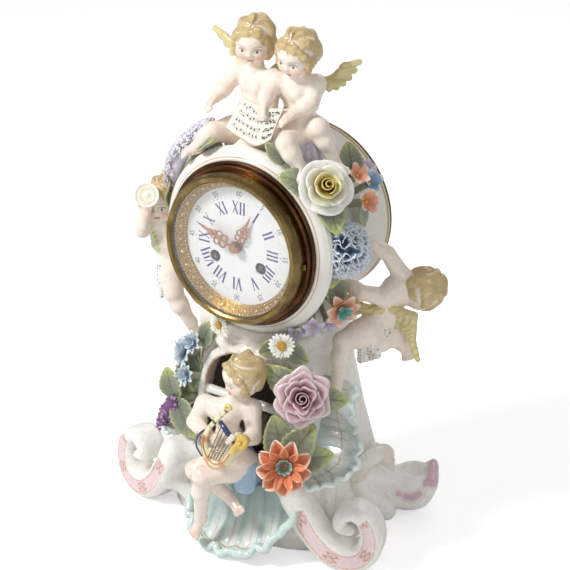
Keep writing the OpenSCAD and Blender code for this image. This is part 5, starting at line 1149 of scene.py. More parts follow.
# %% Two roses
CREAM_LAYERS = ((5, 100, (0.12, -0.08), (0.98, 0.14), 0.06), (4, 110, (0.1, 0.02), (0.7, 0.38), 0.07),
    (3, 138, (0.08, 0.08), (0.44, 0.54), 0.05))
PINK_LAYERS = ((6, 84, (0.12, -0.08), (0.92, 0.04), 0.1), (5, 96, (0.12, -0.02), (0.76, 0.26), 0.1),
    (5, 92, (0.1, 0.02), (0.58, 0.42), 0.08), (3, 130, (0.08, 0.06), (0.4, 0.54), 0.05))


def rose(name, node, place, way, r, depth, layers, shades, seed, ruffle=0.0, point=0.0):
    """shades: (deep, middle, edge) for each layer from the outermost in, then for the heart."""
    paste, seat, random = Paste(), facing(place, way), np.random.default_rng(seed)
    for k, (count, span, foot, lip, roll) in enumerate(layers):
        for i in range(count):
            azimuth = math.radians(360 / count * i + 41 * k + random.uniform(-7, 7))
            lift = random.uniform(-0.02, 0.04)
            grid, u, v = cupped(r, azimuth, math.radians(span), foot, (lip[0], lip[1] + lift), roll,
                random.uniform(0, 6), ruffle, point)
            paste.sheet(seat(grid), tones(u, v, *shades[k], rim=0.84), r * 0.075)
    u, v = np.linspace(0, 1, 8)[None, :], np.linspace(0, 1, 44)[:, None]
    out, turn = (0.27 - 0.21 * v) * (1 + 0.1 * np.cos(3 * 2 * math.pi * v)), 2 * math.pi * 2.1 * v
    heart = r * np.stack([out * np.cos(turn) * (0.8 + 0.3 * u), out * np.sin(turn) * (0.8 + 0.3 * u),
        0.1 + (0.46 + 0.08 * v) * u], -1)
    paste.sheet(seat(heart), tones(u, 0 * v, *shades[-1]), r * 0.045)
    paste.turned(seat, [(0, -0.3 * r), (0.2 * r, -0.24 * r), (0.34 * r, -0.08 * r), (0.3 * r, 0.1 * r),
        (0.12 * r, 0.2 * r), (0, 0.22 * r)], ["#8A9070", "#8A9070", shades[-1][0]], 14)
    stem(paste, place, way, r, depth)
    return paste.piece(name, node)


ROSE_STEM = 0.27 * (HALF_W + HALF_D)
# inner layers are painted deeper than outer ones: partly the roses' own colour, partly painted shade inside
# the cup
rose("rose_cream_petals", "rose_cream", on_drum((0.85, -0.6, 0.76)), (0.6, -0.55, 0.55), 20, 20, CREAM_LAYERS,
    [("#B9BFA4", "#F1F0EA", "#FBFAF5"), ("#A3A773", "#E3E2C8", "#F6F4E6"), ("#9E8A32", "#DACB82", "#F1EAC0"),
    ("#7A5A18", "#C6A63C", "#E9D98C")], 3)
rose("rose_pink_petals", "rose_pink", on_base((0.77, -1.16, 0.84)), (0.5, -0.8, 0.35), 20, ROSE_STEM,
    PINK_LAYERS,
    [("#8E6370", "#C9A9AE", "#F0E4E1"), ("#845868", "#BF9AA3", "#EDDEDC"), ("#7C4E5E", "#B68C96", "#E8D5D4"),
    ("#6E4252", "#A97D88", "#E3CBCC"), ("#683A4A", "#9E6E7B", "#DDBFC2")], 8, 0.035, 0.09)

# %% [markdown]
# The lily has pointed petals round a ragged cup, daisies have narrow ones round a grainy disc,
# and the small blossoms are trumpets.
# %% Lily, daisies and small blossoms
paste = Paste()
place, way, r = on_base((0.76, -1.5, 0.56)), (0.5, -0.8, 0.3), 21
seat, random = facing(place, way), np.random.default_rng(5)
for i in range(9):
    grid, u, v = open_petal(r * random.uniform(0.94, 1.02), 0.64 * r, 0.66, random.uniform(0.1, 0.3), 0.8,
        2 * math.pi * i / 9 + random.uniform(-0.06, 0.06), 0.2, 14, 11)
    paste.sheet(seat(grid), tones(u, v, "#D8764C", "#F2B08C", "#FBE9DC", rim=0.74), 1.4)
for i in range(9):
    grid, u, v = cupped(r, 0.7 * i, 0.9, (0.08, 0.05), (0.26, 0.26 + 0.02 * math.sin(3 * i)), 0.03, i, n=6,
        m=7)
    paste.sheet(seat(grid), tones(u, v, "#47736C", "#7FA89C", "#C9DAD0"), 1.0)
paste.turned(seat, [(0, -0.2 * r), (0.24 * r, -0.12 * r), (0.22 * r, 0.08 * r), (0, 0.16 * r)],
    ["#8A9070", "#C07A58", "#3F5F5A"])
stem(paste, place, way, r, 0.72 * HALF_D)
paste.piece("lily_petals", "lily_orange")

BLOSSOM = 8.8


def blossom(paste, place, way, r, shades, depth, petals=5, tilt=0.5, tip=0.55, eye="#C9A23F", seed=1):
    seat, random = facing(place, way, seed * 0.7), np.random.default_rng(seed)
    for i in range(petals):
        grid, u, v = open_petal(r * random.uniform(0.94, 1.04), 2.6 * r / petals ** 0.75, tip,
            tilt + random.uniform(-0.12, 0.12), 0.2, 2 * math.pi * i / petals + random.uniform(-0.1, 0.1),
            0.06, 9, 7)
        paste.sheet(seat(grid), tones(u, v, *shades, rim=0.74), r * 0.11)
    paste.turned(seat, [(0, -0.2 * r), (0.2 * r, -0.1 * r), (0.22 * r, 0.1 * r), (0.12 * r, 0.26 * r),
        (0, 0.3 * r)], ["#8A9070", shades[0], eye], 10)
    stem(paste, place, way, r, depth)


paste = Paste()
for seed, (share, way, size) in enumerate((((0.5, -1.06, 1.03), (0.4, -0.9, 0.3), 1.1),
        ((-0.2, -0.98, 1.02), (0, -1, 0.2), 0.9))):
    r = BLOSSOM * size
    seat, random = facing(on_base(share), way), np.random.default_rng(seed)
    for i in range(19):
        grid, u, v = open_petal(r * random.uniform(0.95, 1.05), r * 0.34, 0.5, random.uniform(0.05, 0.22),
            0.2, 2 * math.pi * i / 19, 0.25, 7, 5)
        paste.sheet(seat(grid + (0, 0, 0.1 * (i % 2))), tones(u, v, "#C9C4A8", "#F2F0EA", "#FBFAF7"), 0.9)
    paste.turned(seat, [(0, -0.15 * r), (0.34 * r, -0.05 * r), (0.36 * r, 0.12 * r), (0.2 * r, 0.24 * r),
        (0, 0.27 * r)], ["#8A9070", "#C08A2E", "#D9A83F"])
    # each grain of the disc is darker at its foot and paler at its top: painted shade and painted light
    for i in range(26):
        out, turn = 0.33 * r * math.sqrt((i + 0.5) / 26), 2.4 * i
        bead = seat(np.array([[out * math.cos(turn), out * math.sin(turn),
            0.27 * r - 0.35 * out ** 2 / r]]))[0]
        paste.turned(facing(bead, way), [(0, -0.6), (0.55, -0.1), (0.45, 0.4), (0, 0.65)],
            ["#B97F28", "#E3B64F"], 6)
    stem(paste, on_base(share), way, r, 3.4 * BLOSSOM)
paste.piece("daisy_petals", "daisies")

paste = Paste()
for seed, (share, way, size) in enumerate((
        ((-0.64, -0.8, 0.8), (-0.45, -0.9, 0.3), 1.45), ((-0.55, -0.95, 0.72), (-0.3, -0.9, 0.3), 1.1),
        ((-0.5, -0.9, 0.88), (-0.3, -0.9, 0.3), 1.1))):
    for grow, shades, depth, petals, tilt, more in ((1, ("#8FA3B2", "#C6D3DA", "#EFF2F2"), 2.4, 9, 0.45, 0),
            (0.6, ("#7A8EA2", "#B4C3CF", "#E9EDEE"), 1, 6, 0.95, 5)):
        blossom(paste, on_base(share), way, BLOSSOM * size * grow, shades, depth * BLOSSOM, petals, tilt, 0.8,
            "#A9B4A0", seed + more)
paste.piece("blossoms_left_petals", "blossoms_left")

ORANGE, SKY_BLUE, LILAC, TEAL = (("#D07A52", "#EDB397", "#F9E6DA"), ("#5F82A8", "#A9C4DE", "#EEF3F7"),
    ("#A397BE", "#D8D0E2", "#F5F2F7"), ("#3F7A78", "#7FB3AD", "#D5E5DF"))
paste = Paste()
for seed, (share, way, size, shades, petals, tilt) in enumerate((
        ((0.93, 0.1, 0.6), (0.8, -0.2, 0.6), 1, SKY_BLUE, 4, 0.75),
        ((0.88, -0.06, 0.72), (0.7, -0.3, 0.7), 1, ORANGE, 5, 0.6),
        ((0.98, -0.04, 0.46), (0.9, -0.3, 0.4), 1.1, ORANGE, 5, 0.7),
        ((0.85, 0.22, 0.72), (0.7, 0.2, 0.7), 0.8, LILAC, 5, 0.4))):
    blossom(paste, on_drum(share), way, BLOSSOM * size, shades, 3.2 * BLOSSOM, petals, tilt, 0.5, "#E3B64F",
        seed)
paste.piece("bouquet_right_petals", "bouquet_right")

paste = Paste()
for seed, (share, way, size, shades, petals, tip) in enumerate((
        ((0.95, -0.38, -0.6), (0.75, -0.5, -0.1), 1.6, ORANGE, 7, 0.7),
        ((0.74, -0.56, -0.78), (0.6, -0.8, -0.2), 1, LILAC, 5, 1.0),
        ((0.6, -0.66, -0.86), (0.5, -0.8, -0.3), 0.9, LILAC, 5, 1.0),
        ((0.82, -0.4, -0.8), (0.7, -0.6, -0.3), 0.8, LILAC, 5, 1.0))):
    blossom(paste, on_drum(share), way, BLOSSOM * size, shades, 3.2 * BLOSSOM, petals, 0.35, tip,
        "#6FA39A" if seed == 0 else "#D9B24A", seed)
    if seed == 0:
        blossom(paste, on_drum(share), way, BLOSSOM * 0.8, TEAL, BLOSSOM, 5, 0.9, 0.6, "#D9B24A", 9)
paste.piece("blossoms_right_petals", "blossoms_right")

# %% [markdown]
# ### Crowds of small forms
# Carnation petals, lilac florets and berries come in crowds. One Geometry Nodes tree plants a
# small form on given points, turned to each point's way, and tints it.
# %% A tree that plants forms
planting = bpy.data.node_groups.new("planted forms", "GeometryNodeTree")
for socket, kind in (("Places", "Geometry"), ("Form", "Object"), ("Jitter", "Float"), ("Seed", "Int"),
        ("Glaze", "Material")):
    planting.interface.new_socket(socket, in_out="INPUT", socket_type="NodeSocket" + kind)
planting.interface.new_socket("Crowd", in_out="OUTPUT", socket_type="NodeSocketGeometry")
given = add(planting, "NodeGroupInput").outputs
form = add(planting, "GeometryNodeObjectInfo", {"Object": given["Form"]}, transform_space="RELATIVE")
point_way = add(planting, "GeometryNodeInputNamedAttribute", {"Name": "way"}, data_type="FLOAT_VECTOR")
point_size = add(planting, "GeometryNodeInputNamedAttribute", {"Name": "size"}, data_type="FLOAT")
turned_out = add(planting, "FunctionNodeAlignRotationToVector", {"Vector": point_way}, axis="Z")
least = add(planting, "ShaderNodeVectorMath", {0: (-1, -1, -3), 3: given["Jitter"]}, operation="SCALE")
most = add(planting, "ShaderNodeVectorMath", {0: (1, 1, 3), 3: given["Jitter"]}, operation="SCALE")
chance = add(planting, "FunctionNodeRandomValue", {0: least, 1: most, "Seed": given["Seed"]},
    data_type="FLOAT_VECTOR")
swayed = add(planting, "FunctionNodeRotateRotation", {0: turned_out, 1: chance}, rotation_space="LOCAL")
planted = add(planting, "GeometryNodeInstanceOnPoints",
    {"Points": given["Places"], "Instance": form.outputs["Geometry"], "Rotation": swayed,
    "Scale": point_size})
real = add(planting, "GeometryNodeRealizeInstances", {"Geometry": planted})
own = add(planting, "GeometryNodeInputNamedAttribute", {"Name": "paint"}, data_type="FLOAT_VECTOR")
tint = add(planting, "GeometryNodeInputNamedAttribute", {"Name": "tint"}, data_type="FLOAT_VECTOR")
tinted = add(planting, "ShaderNodeVectorMath", {0: own, 1: tint}, operation="MULTIPLY")
painted = add(planting, "GeometryNodeStoreNamedAttribute", {"Geometry": real, "Name": "paint",
    "Value": tinted}, data_type="FLOAT_COLOR", domain="POINT")
glazed = add(planting, "GeometryNodeSetMaterial", {"Geometry": painted, "Material": given["Glaze"]})
add(planting, "NodeGroupOutput", {"Crowd": glazed})
print("planting tree:", len(planting.nodes), "nodes")


# %% Planting
def plant(name, form, places, ways, sizes, tints, jitter=0.15, seed=1, glaze=None):
    """Plants a form on places in mm; returns the crowd as a plain mesh object."""
    count = len(places)
    ground = mesh_piece(name + "_places", places, [], porcelain,
        {"way": np.asarray(ways, float), "size": np.broadcast_to(sizes, (count,)).astype(float),
        "tint": np.broadcast_to(np.asarray(tints, float), (count, 4))[:, :3].copy()}, smooth=False)
    grower = ground.modifiers.new("planting", "NODES")
    grower.node_group = planting
    values = {"Form": form, "Jitter": jitter, "Seed": seed, "Glaze": glaze or porcelain}
    for socket in planting.interface.items_tree:
        if socket.in_out == "INPUT" and socket.name in values:
            grower[socket.identifier] = values[socket.name]
    bpy.context.view_layer.update()
    mesh = bpy.data.meshes.new_from_object(ground.evaluated_get(bpy.context.evaluated_depsgraph_get()))
    ground.modifiers.clear()
    bpy.data.objects.remove(ground)
    crowd = in_scene(name, mesh)
    crowd["ride_on"] = "case"
    mesh.shade_smooth()
    print(name, count, "forms,", len(mesh.polygons), "faces")
    return crowd


def small_form(name, paste):
    """A form to plant, one millimetre to its unit, removed at the end."""
    made = paste.piece(name)
    del made["ride_on"]
    made["planted_away"] = True
    return made


def turned_form(name, *profile_and_paint):
    paste = Paste()
    paste.turned(lambda points: points, *profile_and_paint)
    return small_form(name, paste)


paste, (u, v) = Paste(), sheet_lines(5, 13)
tooth = 1 - 0.12 * (np.arange(13) % 2)[None, :] * u
fan = np.stack([0.62 * v * (0.25 + 0.75 * u), 0.16 * u * np.sin(5.2 * v) + 0 * v,
    u * 1.05 * tooth * (1 - 0.12 * v ** 2)], -1)
paste.sheet(fan, tones(u, v, "#54708F", "#A9BED2", "#F3F6F8", 0.8), 0.06)
fan_form = small_form("toothed_petal_form", paste)
floret_form = turned_form("floret_form", [(0, -0.5), (0.22, -0.3), (0.95, 0.0), (1.0, 0.12), (0.3, 0.0),
    (0.12, 0.16), (0, 0.18)], ["#FFFFFF"] * 5 + ["#E3C46A", "#E3C46A"], 16, 4, 0.42)
# each berry is a shade darker on the half that faces into the cluster: painted shade
berry_form = turned_form("berry_form", [(0, -1), (0.7, -0.7), (1, 0), (0.7, 0.7), (0, 1)],
    ["#C9B4D0", "#FFFFFF"], 8)

# %% Carnation, lilac and berries
place, way, r = on_drum((0.98, -0.4, 0.06)), (0.85, -0.5, 0.1), 18.0
seat, count = facing(place, way), 74
k = np.arange(count)
polar, turn = np.arccos(1 - 1.02 * (k + 0.5) / count), 2.39996 * k
ways = np.column_stack([np.sin(polar) * np.cos(turn), np.sin(polar) * np.sin(turn), np.cos(polar)])
roots = ways * r * [0.46, 0.46, 0.3] + [0, 0, -1.5]
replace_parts(plant("carnation_petals", fan_form, seat(roots), seat(ways) - seat(np.zeros((1, 3))), r * 0.74,
    linear("#FFFFFF"), 0.28, 4), "carnation_blue")
# the core under the petals is painted dark blue: painted shade in the gaps between them
core = Paste()
core.turned(seat, [(0, -0.3 * r), (0.42 * r, -0.2 * r), (0.56 * r, 0.0), (0.42 * r, 0.28 * r), (0, 0.4 * r)],
    ["#8A9070", "#5F7690", "#5F7690"], 20)
stem(core, place, way, r, r)
core.piece("carnation_core", "carnation_blue")

random, count = np.random.default_rng(12), 300
bank = along([on_drum(s) for s in ((-0.58, -0.5, 1.02), (-0.73, -0.52, 0.91), (-0.86, -0.54, 0.77),
    (-0.95, -0.56, 0.61), (-1, -0.53, 0.46), (-1.04, -0.48, 0.31))], 90)
inward = bank * [0.85, 1, 1]
inward[:, 2] = AXIS_Z + (bank[:, 2] - AXIS_Z) * 0.85
t = random.permutation(90)[np.arange(count) % 90]
out = units(random.normal(size=(count, 3)) * [0.6, 0.8, 0.6] + (bank - inward)[t] / 9.0 + [0, -0.35, 0])
low_end = smooth(t.astype(float), 70, 88) * (random.uniform(size=count) < 0.6)
tints = coats(count, "#E2DDEA", ("#F8F6F9", random.uniform(size=count)),
    ("#C9BEDA", (random.uniform(size=count) < 0.25) * 0.7), ("#EBC3AC", low_end))
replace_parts(plant("lilac_florets", floret_form, bank[t] + out * 7.4, out, 4.6, tints, 0.3, 7), "lilac_left")
core = Paste()
core.tube(bank[::6], 5.8, "#D9D4E2", 14)
core.tube(inward[::6], 5.6, "#8A9070", 14)
core.piece("lilac_core", "lilac_left")

cone = along([on_base(s) for s in ((-0.68, -0.96, 0.58), (-0.78, -0.96, 0.5), (-0.87, -0.95, 0.41))], 60)
girth, count = np.interp(np.linspace(0, 1, 60), [0, 0.5, 1], [6.2, 6.6, 3.2]), 190
t = np.clip((random.permutation(count) / count * 60).astype(int), 0, 59)
out = units(random.normal(size=(count, 3)))
tints = coats(count, "#8E5F92", ("#C7A6C6", random.uniform(size=count) * 0.8))
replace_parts(plant("berries_planted", berry_form, cone[t] + out * (girth[t] - 0.8)[:, None], out,
    random.uniform(1.2, 1.7, count), tints, 0.2, 9), "berry_cluster")
core = Paste()
core.tube(cone[::5], girth[::5] - 0.8, "#6E4A74", 12)
core.tube([cone[0], on_base((-0.5, -0.8, 0.6))], 3.6, "#8A9070", 10)
core.piece("berry_core", "berry_cluster")

# %% [markdown]
# ### Leaves
# A leaf is pointed, serrated, folded along its rib, with side veins, and runs from grey-green
# at the rib to yellow-green at the tip. Most spring from a flower's stem.
# %% Leaves


def leaf(paste, at, way, face, length, seed):
    way, face = unit(way), unit(face)
    side = unit(np.cross(way, face))
    face, random, (n, m) = np.cross(side, way), np.random.default_rng(seed), (27, 15)
    u, v = sheet_lines(n, m)
    teeth = 1 + 0.07 * (2 * ((u * 9) % 1) - 1) * (u > 0.08) * (u < 0.95)
    half = length * 0.33 * np.sin(math.pi * (0.04 + 0.94 * u) ** 0.82) ** 0.72 * teeth
    vein = np.sin(2 * math.pi * (7 * u - 1.6 * np.abs(v)))
    bend, twist = random.uniform(0.05, 0.16), random.uniform(-0.25, 0.25)
    rise = (0.2 * half * np.abs(v) ** 1.3 - bend * length * u ** 2.2 + twist * v * half * u
        + 0.012 * length * vein * np.abs(v) * (1 - np.abs(v)) * 3
        + 0.02 * length * np.sin(9 * u + seed) * np.abs(v))
    grid = (np.asarray(at, float) + (u * length * np.ones_like(v))[:, :, None] * way
        + (v * half)[:, :, None] * side + rise[:, :, None] * face)
    u, v, vein = (a.ravel() for a in np.broadcast_arrays(u, v, vein))
    paste.sheet(grid, coats(n * m, "#8E9581", ("#6A705E", 0.8 * (1 - np.abs(v)) * (1 - u)),
        ("#C6CD7C", smooth(np.maximum(u, np.abs(v) * 0.85), 0.6, 1.0) * random.uniform(0.55, 0.95)),
        ("#656D5A", 0.5 * smooth(-vein, 0.55, 1.0) * (np.abs(v) < 0.85)),
        ("#6A715E", 0.8 * smooth(-np.abs(v), -0.12, -0.02) * (u < 0.93))), 1.5)


def behind(share, way, back, drum=False):
    return (on_drum if drum else on_base)(share) - unit(way) * back


lily_back = behind((0.76, -1.5, 0.56), (0.5, -0.8, 0.3), 12.6)
rose_back = behind((0.77, -1.16, 0.84), (0.5, -0.8, 0.35), 11.4)
daisy_back = behind((0.5, -1.06, 1.03), (0.4, -0.9, 0.3), 6.4)
berry_top = on_base((-0.68, -0.96, 0.58))
BASE_LEAVES = [
    (lily_back, (-0.3, 0, 1), (0.5, -0.8, 0.3), 1.3), (lily_back, (0.5, 0.25, 0.85), (0.5, -0.8, 0.3), 1.35),
    (lily_back, (0.9, 0.5, 0.25), (0.5, -0.8, 0.3), 1.3), (rose_back, (-0.8, -0.2, 0.5), (0.4, -0.9, 0.3),
    1.2),
    (rose_back, (0.8, 0.45, -0.1), (0.5, -0.8, 0.3), 1.2), (daisy_back, (-0.8, -0.2, -0.5), (0.4, -0.9, 0.3),
    0.8), (daisy_back, (0.8, 0.2, -0.5), (0.5, -0.9, 0.3), 0.8),
    (behind((-0.64, -0.8, 0.8), (-0.6, -0.8, 0.3), 6.4), (-0.1, -0.3, -1), (0, -1, 0.3), 1.3),
    (behind((-0.5, -0.9, 0.88), (-0.4, -0.9, 0.3), 6.4), (0.5, -0.2, 0.9), (0, -1, 0.2), 0.9),
    (berry_top, (0.7, -0.3, -0.7), (0.1, -1, 0.3), 1.2), (berry_top, (-0.2, -0.3, 1), (0, -0.9, 0.4), 1),
    ((-44.7, float(base_front(-44.7, 94.6)), 94.6), (0.2, -0.35, -1), (0, -1, 0.2), 1.4)]
rose_side = behind((0.85, -0.6, 0.76), (0.6, -0.55, 0.55), 7.6, True)
carnation_side = behind((0.98, -0.4, 0.06), (0.85, -0.5, 0.1), 7.2, True)
DRUM_LEAVES = [(on_drum((0.42, -0.68, 0.94)), (-0.5, -0.2, 0.6), (0.2, -0.6, 0.9), 0.7),
    (rose_side, (-0.6, -0.62, 0.4), (0.4, -0.6, 0.8), 1.2), (rose_side, (0.65, -0.3, -0.75), (0.8, -0.5, 0.3),
    1.2), (carnation_side, (0.1, -0.5, 0.8), (0.9, -0.4, 0.1), 1.1),
    (carnation_side, (0.1, -0.35, -0.9), (0.9, -0.4, 0), 1.1),
    (behind((0.88, -0.06, 0.72), (0.7, -0.3, 0.7), 6.4, True), (-0.3, 0.3, 0.8), (0.6, -0.4, 0.7), 1),
    (behind((0.95, -0.38, -0.6), (0.75, -0.5, -0.1), 6.4, True), (0, -0.2, 1), (0.9, -0.4, 0), 1),
    (behind((0.98, -0.04, 0.46), (0.9, -0.3, 0.4), 6.4, True), (0.1, 0.4, -1), (1, 0, 0.2), 0.9),
    (on_drum((-0.6, -0.68, 0.86)), (0.6, -0.2, 0.5), (-0.4, -0.6, 0.8), 0.7),
    (on_drum((-1, -0.62, 0.4)), (-0.2, -0.1, -1), (-0.9, -0.6, 0.1), 0.8)]
for name, node, table in (("leaves_base_pressed", "leaves_base", BASE_LEAVES),
        ("leaves_drum_pressed", "leaves_drum", DRUM_LEAVES)):
    paste = Paste()
    for seed, (at, way, face, size) in enumerate(table):
        leaf(paste, at, way, face, 28 * size, seed)
    paste.piece(name, node)

# %% [markdown]
# ## The dial and the brass
# The dial is white enamel with blue hours and grey minutes fired on. Each stroke of a Roman
# numeral is one thin strip, left out where it would cross a winding hole.
# %% Blue hours
DIAL_Y = -60.6
HOLES = [(0.0, 0.0, 4.2), (20.0, -12.6, 4.8), (-20.0, -12.6, 4.8)]
HOUR_FOOT, HOUR_HIGH = 25.2, 9.4
HOURS = ["XII", "I", "II", "III", "IIII", "V", "VI", "VII", "VIII", "IX", "X", "XI"]
THICK, THIN = 1.45, 0.7
# Each letter: its width, then strokes as (x at the foot, x at the top, thickness)
LETTERS = {"I": (3.0, [(1.5, 1.5, THICK)]), "V": (6.0, [(3.3, 1.2, THICK), (3.3, 5.3, THIN)]),
    "X": (6.2, [(5.1, 1.1, THICK), (1.1, 5.1, THIN)])}


def on_dial(x, y, lift=0.03):
    """From mm right and up from the dial's centre to the model's frame."""
    x, y = np.asarray(x, float), np.asarray(y, float)
    return np.stack([x, np.full(x.shape, DIAL_Y - lift), AXIS_Z + y], -1)


def stroke(paste, clock, low, high, width):
    """A straight strip of a numeral, from (x, y) to (x, y), in up to two lengths."""
    t = np.linspace(0, 1, 18)[:, None]
    x = low[0] + (high[0] - low[0]) * t + width / 2 * np.array([[1, -1]])
    y = low[1] + (high[1] - low[1]) * t + HOUR_FOOT + 0 * x
    across, up = math.cos(clock) * x + math.sin(clock) * y, math.cos(clock) * y - math.sin(clock) * x
    free = np.all([np.hypot(across - hx, up - hy).min(axis=1) > hr for hx, hy, hr in HOLES], axis=0)
    ends = np.flatnonzero(np.diff(np.concatenate([[0], free.astype(int), [0]])))
    for a, b in ends.reshape(-1, 2):
        if b - a > 1:
            paste.sheet(on_dial(across[a:b], up[a:b]), "#3A3F94", 0.1)


paste = Paste()
for hour, letters in enumerate(HOURS):
    clock = math.radians(30 * hour)
    x = -sum(LETTERS[c][0] for c in letters) / 2
    for c in letters:
        wide, strokes = LETTERS[c]
        for foot_x, top_x, thick in strokes:
            stroke(paste, clock, (x + foot_x, 0), (x + top_x, HOUR_HIGH), thick)
            for end_x, y in ((foot_x, 0.0), (top_x, HOUR_HIGH)):
                if thick == THICK or y > 0:
                    reach = thick / 2 + 0.55
                    stroke(paste, clock, (x + end_x - 0.001, y - 0.12), (x + end_x, y + 0.12), 2 * reach)
        x += wide
paste.piece("dial_hours", material=enamel_paint("fired blue enamel, dial figures", 0.0, 0.16))

# %% [markdown]
# The minutes are small figures in Blender's own built-in font, made meshes and laid on the dial
# upright along its radius, with a ring of dots inside them.
# %% Grey minutes
FIGURE_R, FIGURE_HIGH, DOT_R = 40.6, 4.5, 37.2
grey = enamel_paint("fired grey enamel, minute figures", 0.0, 0.16)
points, faces = [], []
for step in range(1, 13):
    text = bpy.data.curves.new("minute_figure", "FONT")
    text.body, text.size, text.align_x, text.align_y = str(5 * step), FIGURE_HIGH * 1.35, "CENTER", "CENTER"
    text.extrude, text.resolution_u = 0.04, 3
    holder = in_scene("minute_figure", text)
    bpy.context.view_layer.update()
    mesh = bpy.data.meshes.new_from_object(holder)
    flat = np.array([v.co for v in mesh.vertices])
    clock = math.radians(30 * step)
    x, y = flat[:, 0] * 0.8, flat[:, 1] + FIGURE_R
    placed = on_dial(math.cos(clock) * x + math.sin(clock) * y, math.cos(clock) * y - math.sin(clock) * x)
    placed[:, 1] -= flat[:, 2]
    start = len(points)
    points += placed.tolist()
    faces += [[start + i for i in p.vertices] for p in mesh.polygons]
    bpy.data.objects.remove(holder)
    bpy.data.meshes.remove(mesh)
mesh_piece("dial_minutes", points, faces, grey, {"paint": coats(len(points), "#434660")}, smooth=False)

turn = np.radians(6.0 * np.arange(60))
dot_form = turned_form("minute_dot_form", [(0, -0.2), (1, -0.15), (1, 0.1), (0, 0.2)], ["#FFFFFF"], 8)
plant("dial_dots", dot_form, on_dial(DOT_R * np.sin(turn), DOT_R * np.cos(turn), 0.0),
    np.tile((0.0, -1.0, 0.0), (60, 1)), np.where(np.arange(60) % 5, 0.26, 0.42), linear("#434660"), 0.0)

# %% [markdown]
# ## Metals
# Brass from a lathe keeps fine turning marks round its axis, a rings texture here, and tarnishes
# in blots, which mix two colours and drive the roughness.
# %% Metal finishes


def metal(material_name, clean, tarnished, roughness, blot_mm, turned=True, mark_mm=0.9, depth_mm=0.02):
    material, tree, shader = finish_of(material_name)
    blots = object_noise(tree, blot_mm, 7.0, 0.62)
    amount = add(tree, "ShaderNodeMapRange", {"Value": blots, "From Min": 0.36, "From Max": 0.66})
    colour = add(tree, "ShaderNodeMix", {"Factor": amount, 6: linear(clean), 7: linear(tarnished)},
        data_type="RGBA")
    rough = add(tree, "ShaderNodeMapRange", {"Value": amount, "To Min": roughness, "To Max": roughness + 0.2})
    feed(shader, {"Base Color": colour.outputs[2], "Roughness": rough, "Metallic": 1.0})
    if turned:
        where = add(tree, "ShaderNodeTexCoord").outputs["Object"]
        centred = add(tree, "ShaderNodeMapping", {"Vector": where, "Location": (0, 0, -AXIS_Z * MM)})
        # a wave of scale 1 repeats every 0.314 m
        marks = add(tree, "ShaderNodeTexWave", {"Vector": centred, "Scale": 0.314 / (mark_mm * MM),
            "Distortion": 0.6, "Detail": 2.0}, wave_type="RINGS", rings_direction="Y").outputs["Fac"]
    else:
        marks = object_noise(tree, mark_mm, 3.0, 0.7)
    relief = add(tree, "ShaderNodeBump", {"Height": marks, "Strength": 0.6, "Distance": depth_mm * MM})
    feed(shader, {"Normal": relief})
    return material


lacquered = metal("turned and lacquered brass", "#C9A75C", "#A8853F", 0.2, 5.0)
patinated = metal("turned brass with brown patina", "#968150", "#6C5836", 0.22, 14.0)
flange_brown = metal("turned brass, dark brown patina", "#65442F", "#46301F", 0.2, 16.0)
# One gilt, matt and burnished: its ground is coloured darker as painted shade, its beads paler as painted
# highlight
gilt = metal("chased brass, matted ground", "#B28B3C", "#7F5F26", 0.34, 2.2, False, 0.5, 0.12)
burnished_and_highlit = metal("burnished gilt brass", "#E8CB82", "#C49E50", 0.2, 2.2, False, 0.5, 0.03)
copper = metal("engraved copper-gold hands", "#CF9C78", "#8F5B3E", 0.3, 1.6, False, 0.45, 0.1)
dark_steel = metal("oxidised steel", "#77777C", "#4B4B52", 0.25, 4.0, False, 0.6, 0.01)
steel = metal("polished steel", "#C4C4C6", "#8B8B90", 0.16, 4.0, False, 0.6, 0.01)
bell_metal = metal("cast bell metal, turned", "#B98F56", "#7F5E36", 0.26, 8.0)

enamel, tree, shader = finish_of("white fired enamel on copper")
blush = add(tree, "ShaderNodeMix", {"Factor": object_noise(tree, 14.0), 6: linear("#F4F3F0"),
    7: linear("#EAEBEE")}, data_type="RGBA")
feed(shader, {"Base Color": blush.outputs[2]})
surface_of(tree, shader, 5.0, (0.08, 0.2), 4.0, 1.0, 0.4, 0.05)

# A thin clear pane, mostly see-through, with a soft gloss
glass, tree, shader = finish_of("clear ground glass")
feed(shader, {"Base Color": linear("#EEF2F0"), "Alpha": 0.09, "IOR": 1.52})
smear = add(tree, "ShaderNodeMapRange", {"Value": object_noise(tree, 20.0), "To Min": 0.02, "To Max": 0.06})
feed(shader, {"Roughness": smear})
glass.surface_render_method = "BLENDED"

# %% [markdown]
# The drum is thrown porcelain with a warm white glaze, and gold lines beside the brass and on
# the rim at the back.
# %% White drum
drum_glaze, tree, shader = finish_of("thrown white porcelain with gold lines")
where = add(tree, "ShaderNodeTexCoord").outputs["Object"]
centred = add(tree, "ShaderNodeMapping", {"Vector": where, "Location": (0, 0, -AXIS_Z * MM)})
parts = add(tree, "ShaderNodeSeparateXYZ", {"Vector": centred}).outputs
square = add(tree, "ShaderNodeVectorMath", {0: centred, 1: (1, 0, 1)}, operation="MULTIPLY")
radius = add(tree, "ShaderNodeVectorMath", {0: square}, operation="LENGTH").outputs["Value"]


def within(value, low, high, soft=0.0002):
    """1 between low and high, in metres, with soft edges."""
    rise = add(tree, "ShaderNodeMapRange", {"Value": value, "From Min": low - soft, "From Max": low + soft})
    fall = add(tree, "ShaderNodeMapRange", {"Value": value, "From Min": high - soft, "From Max": high + soft,
        "To Min": 1.0, "To Max": 0.0})
    return add(tree, "ShaderNodeMath", {0: rise, 1: fall}, operation="MULTIPLY")


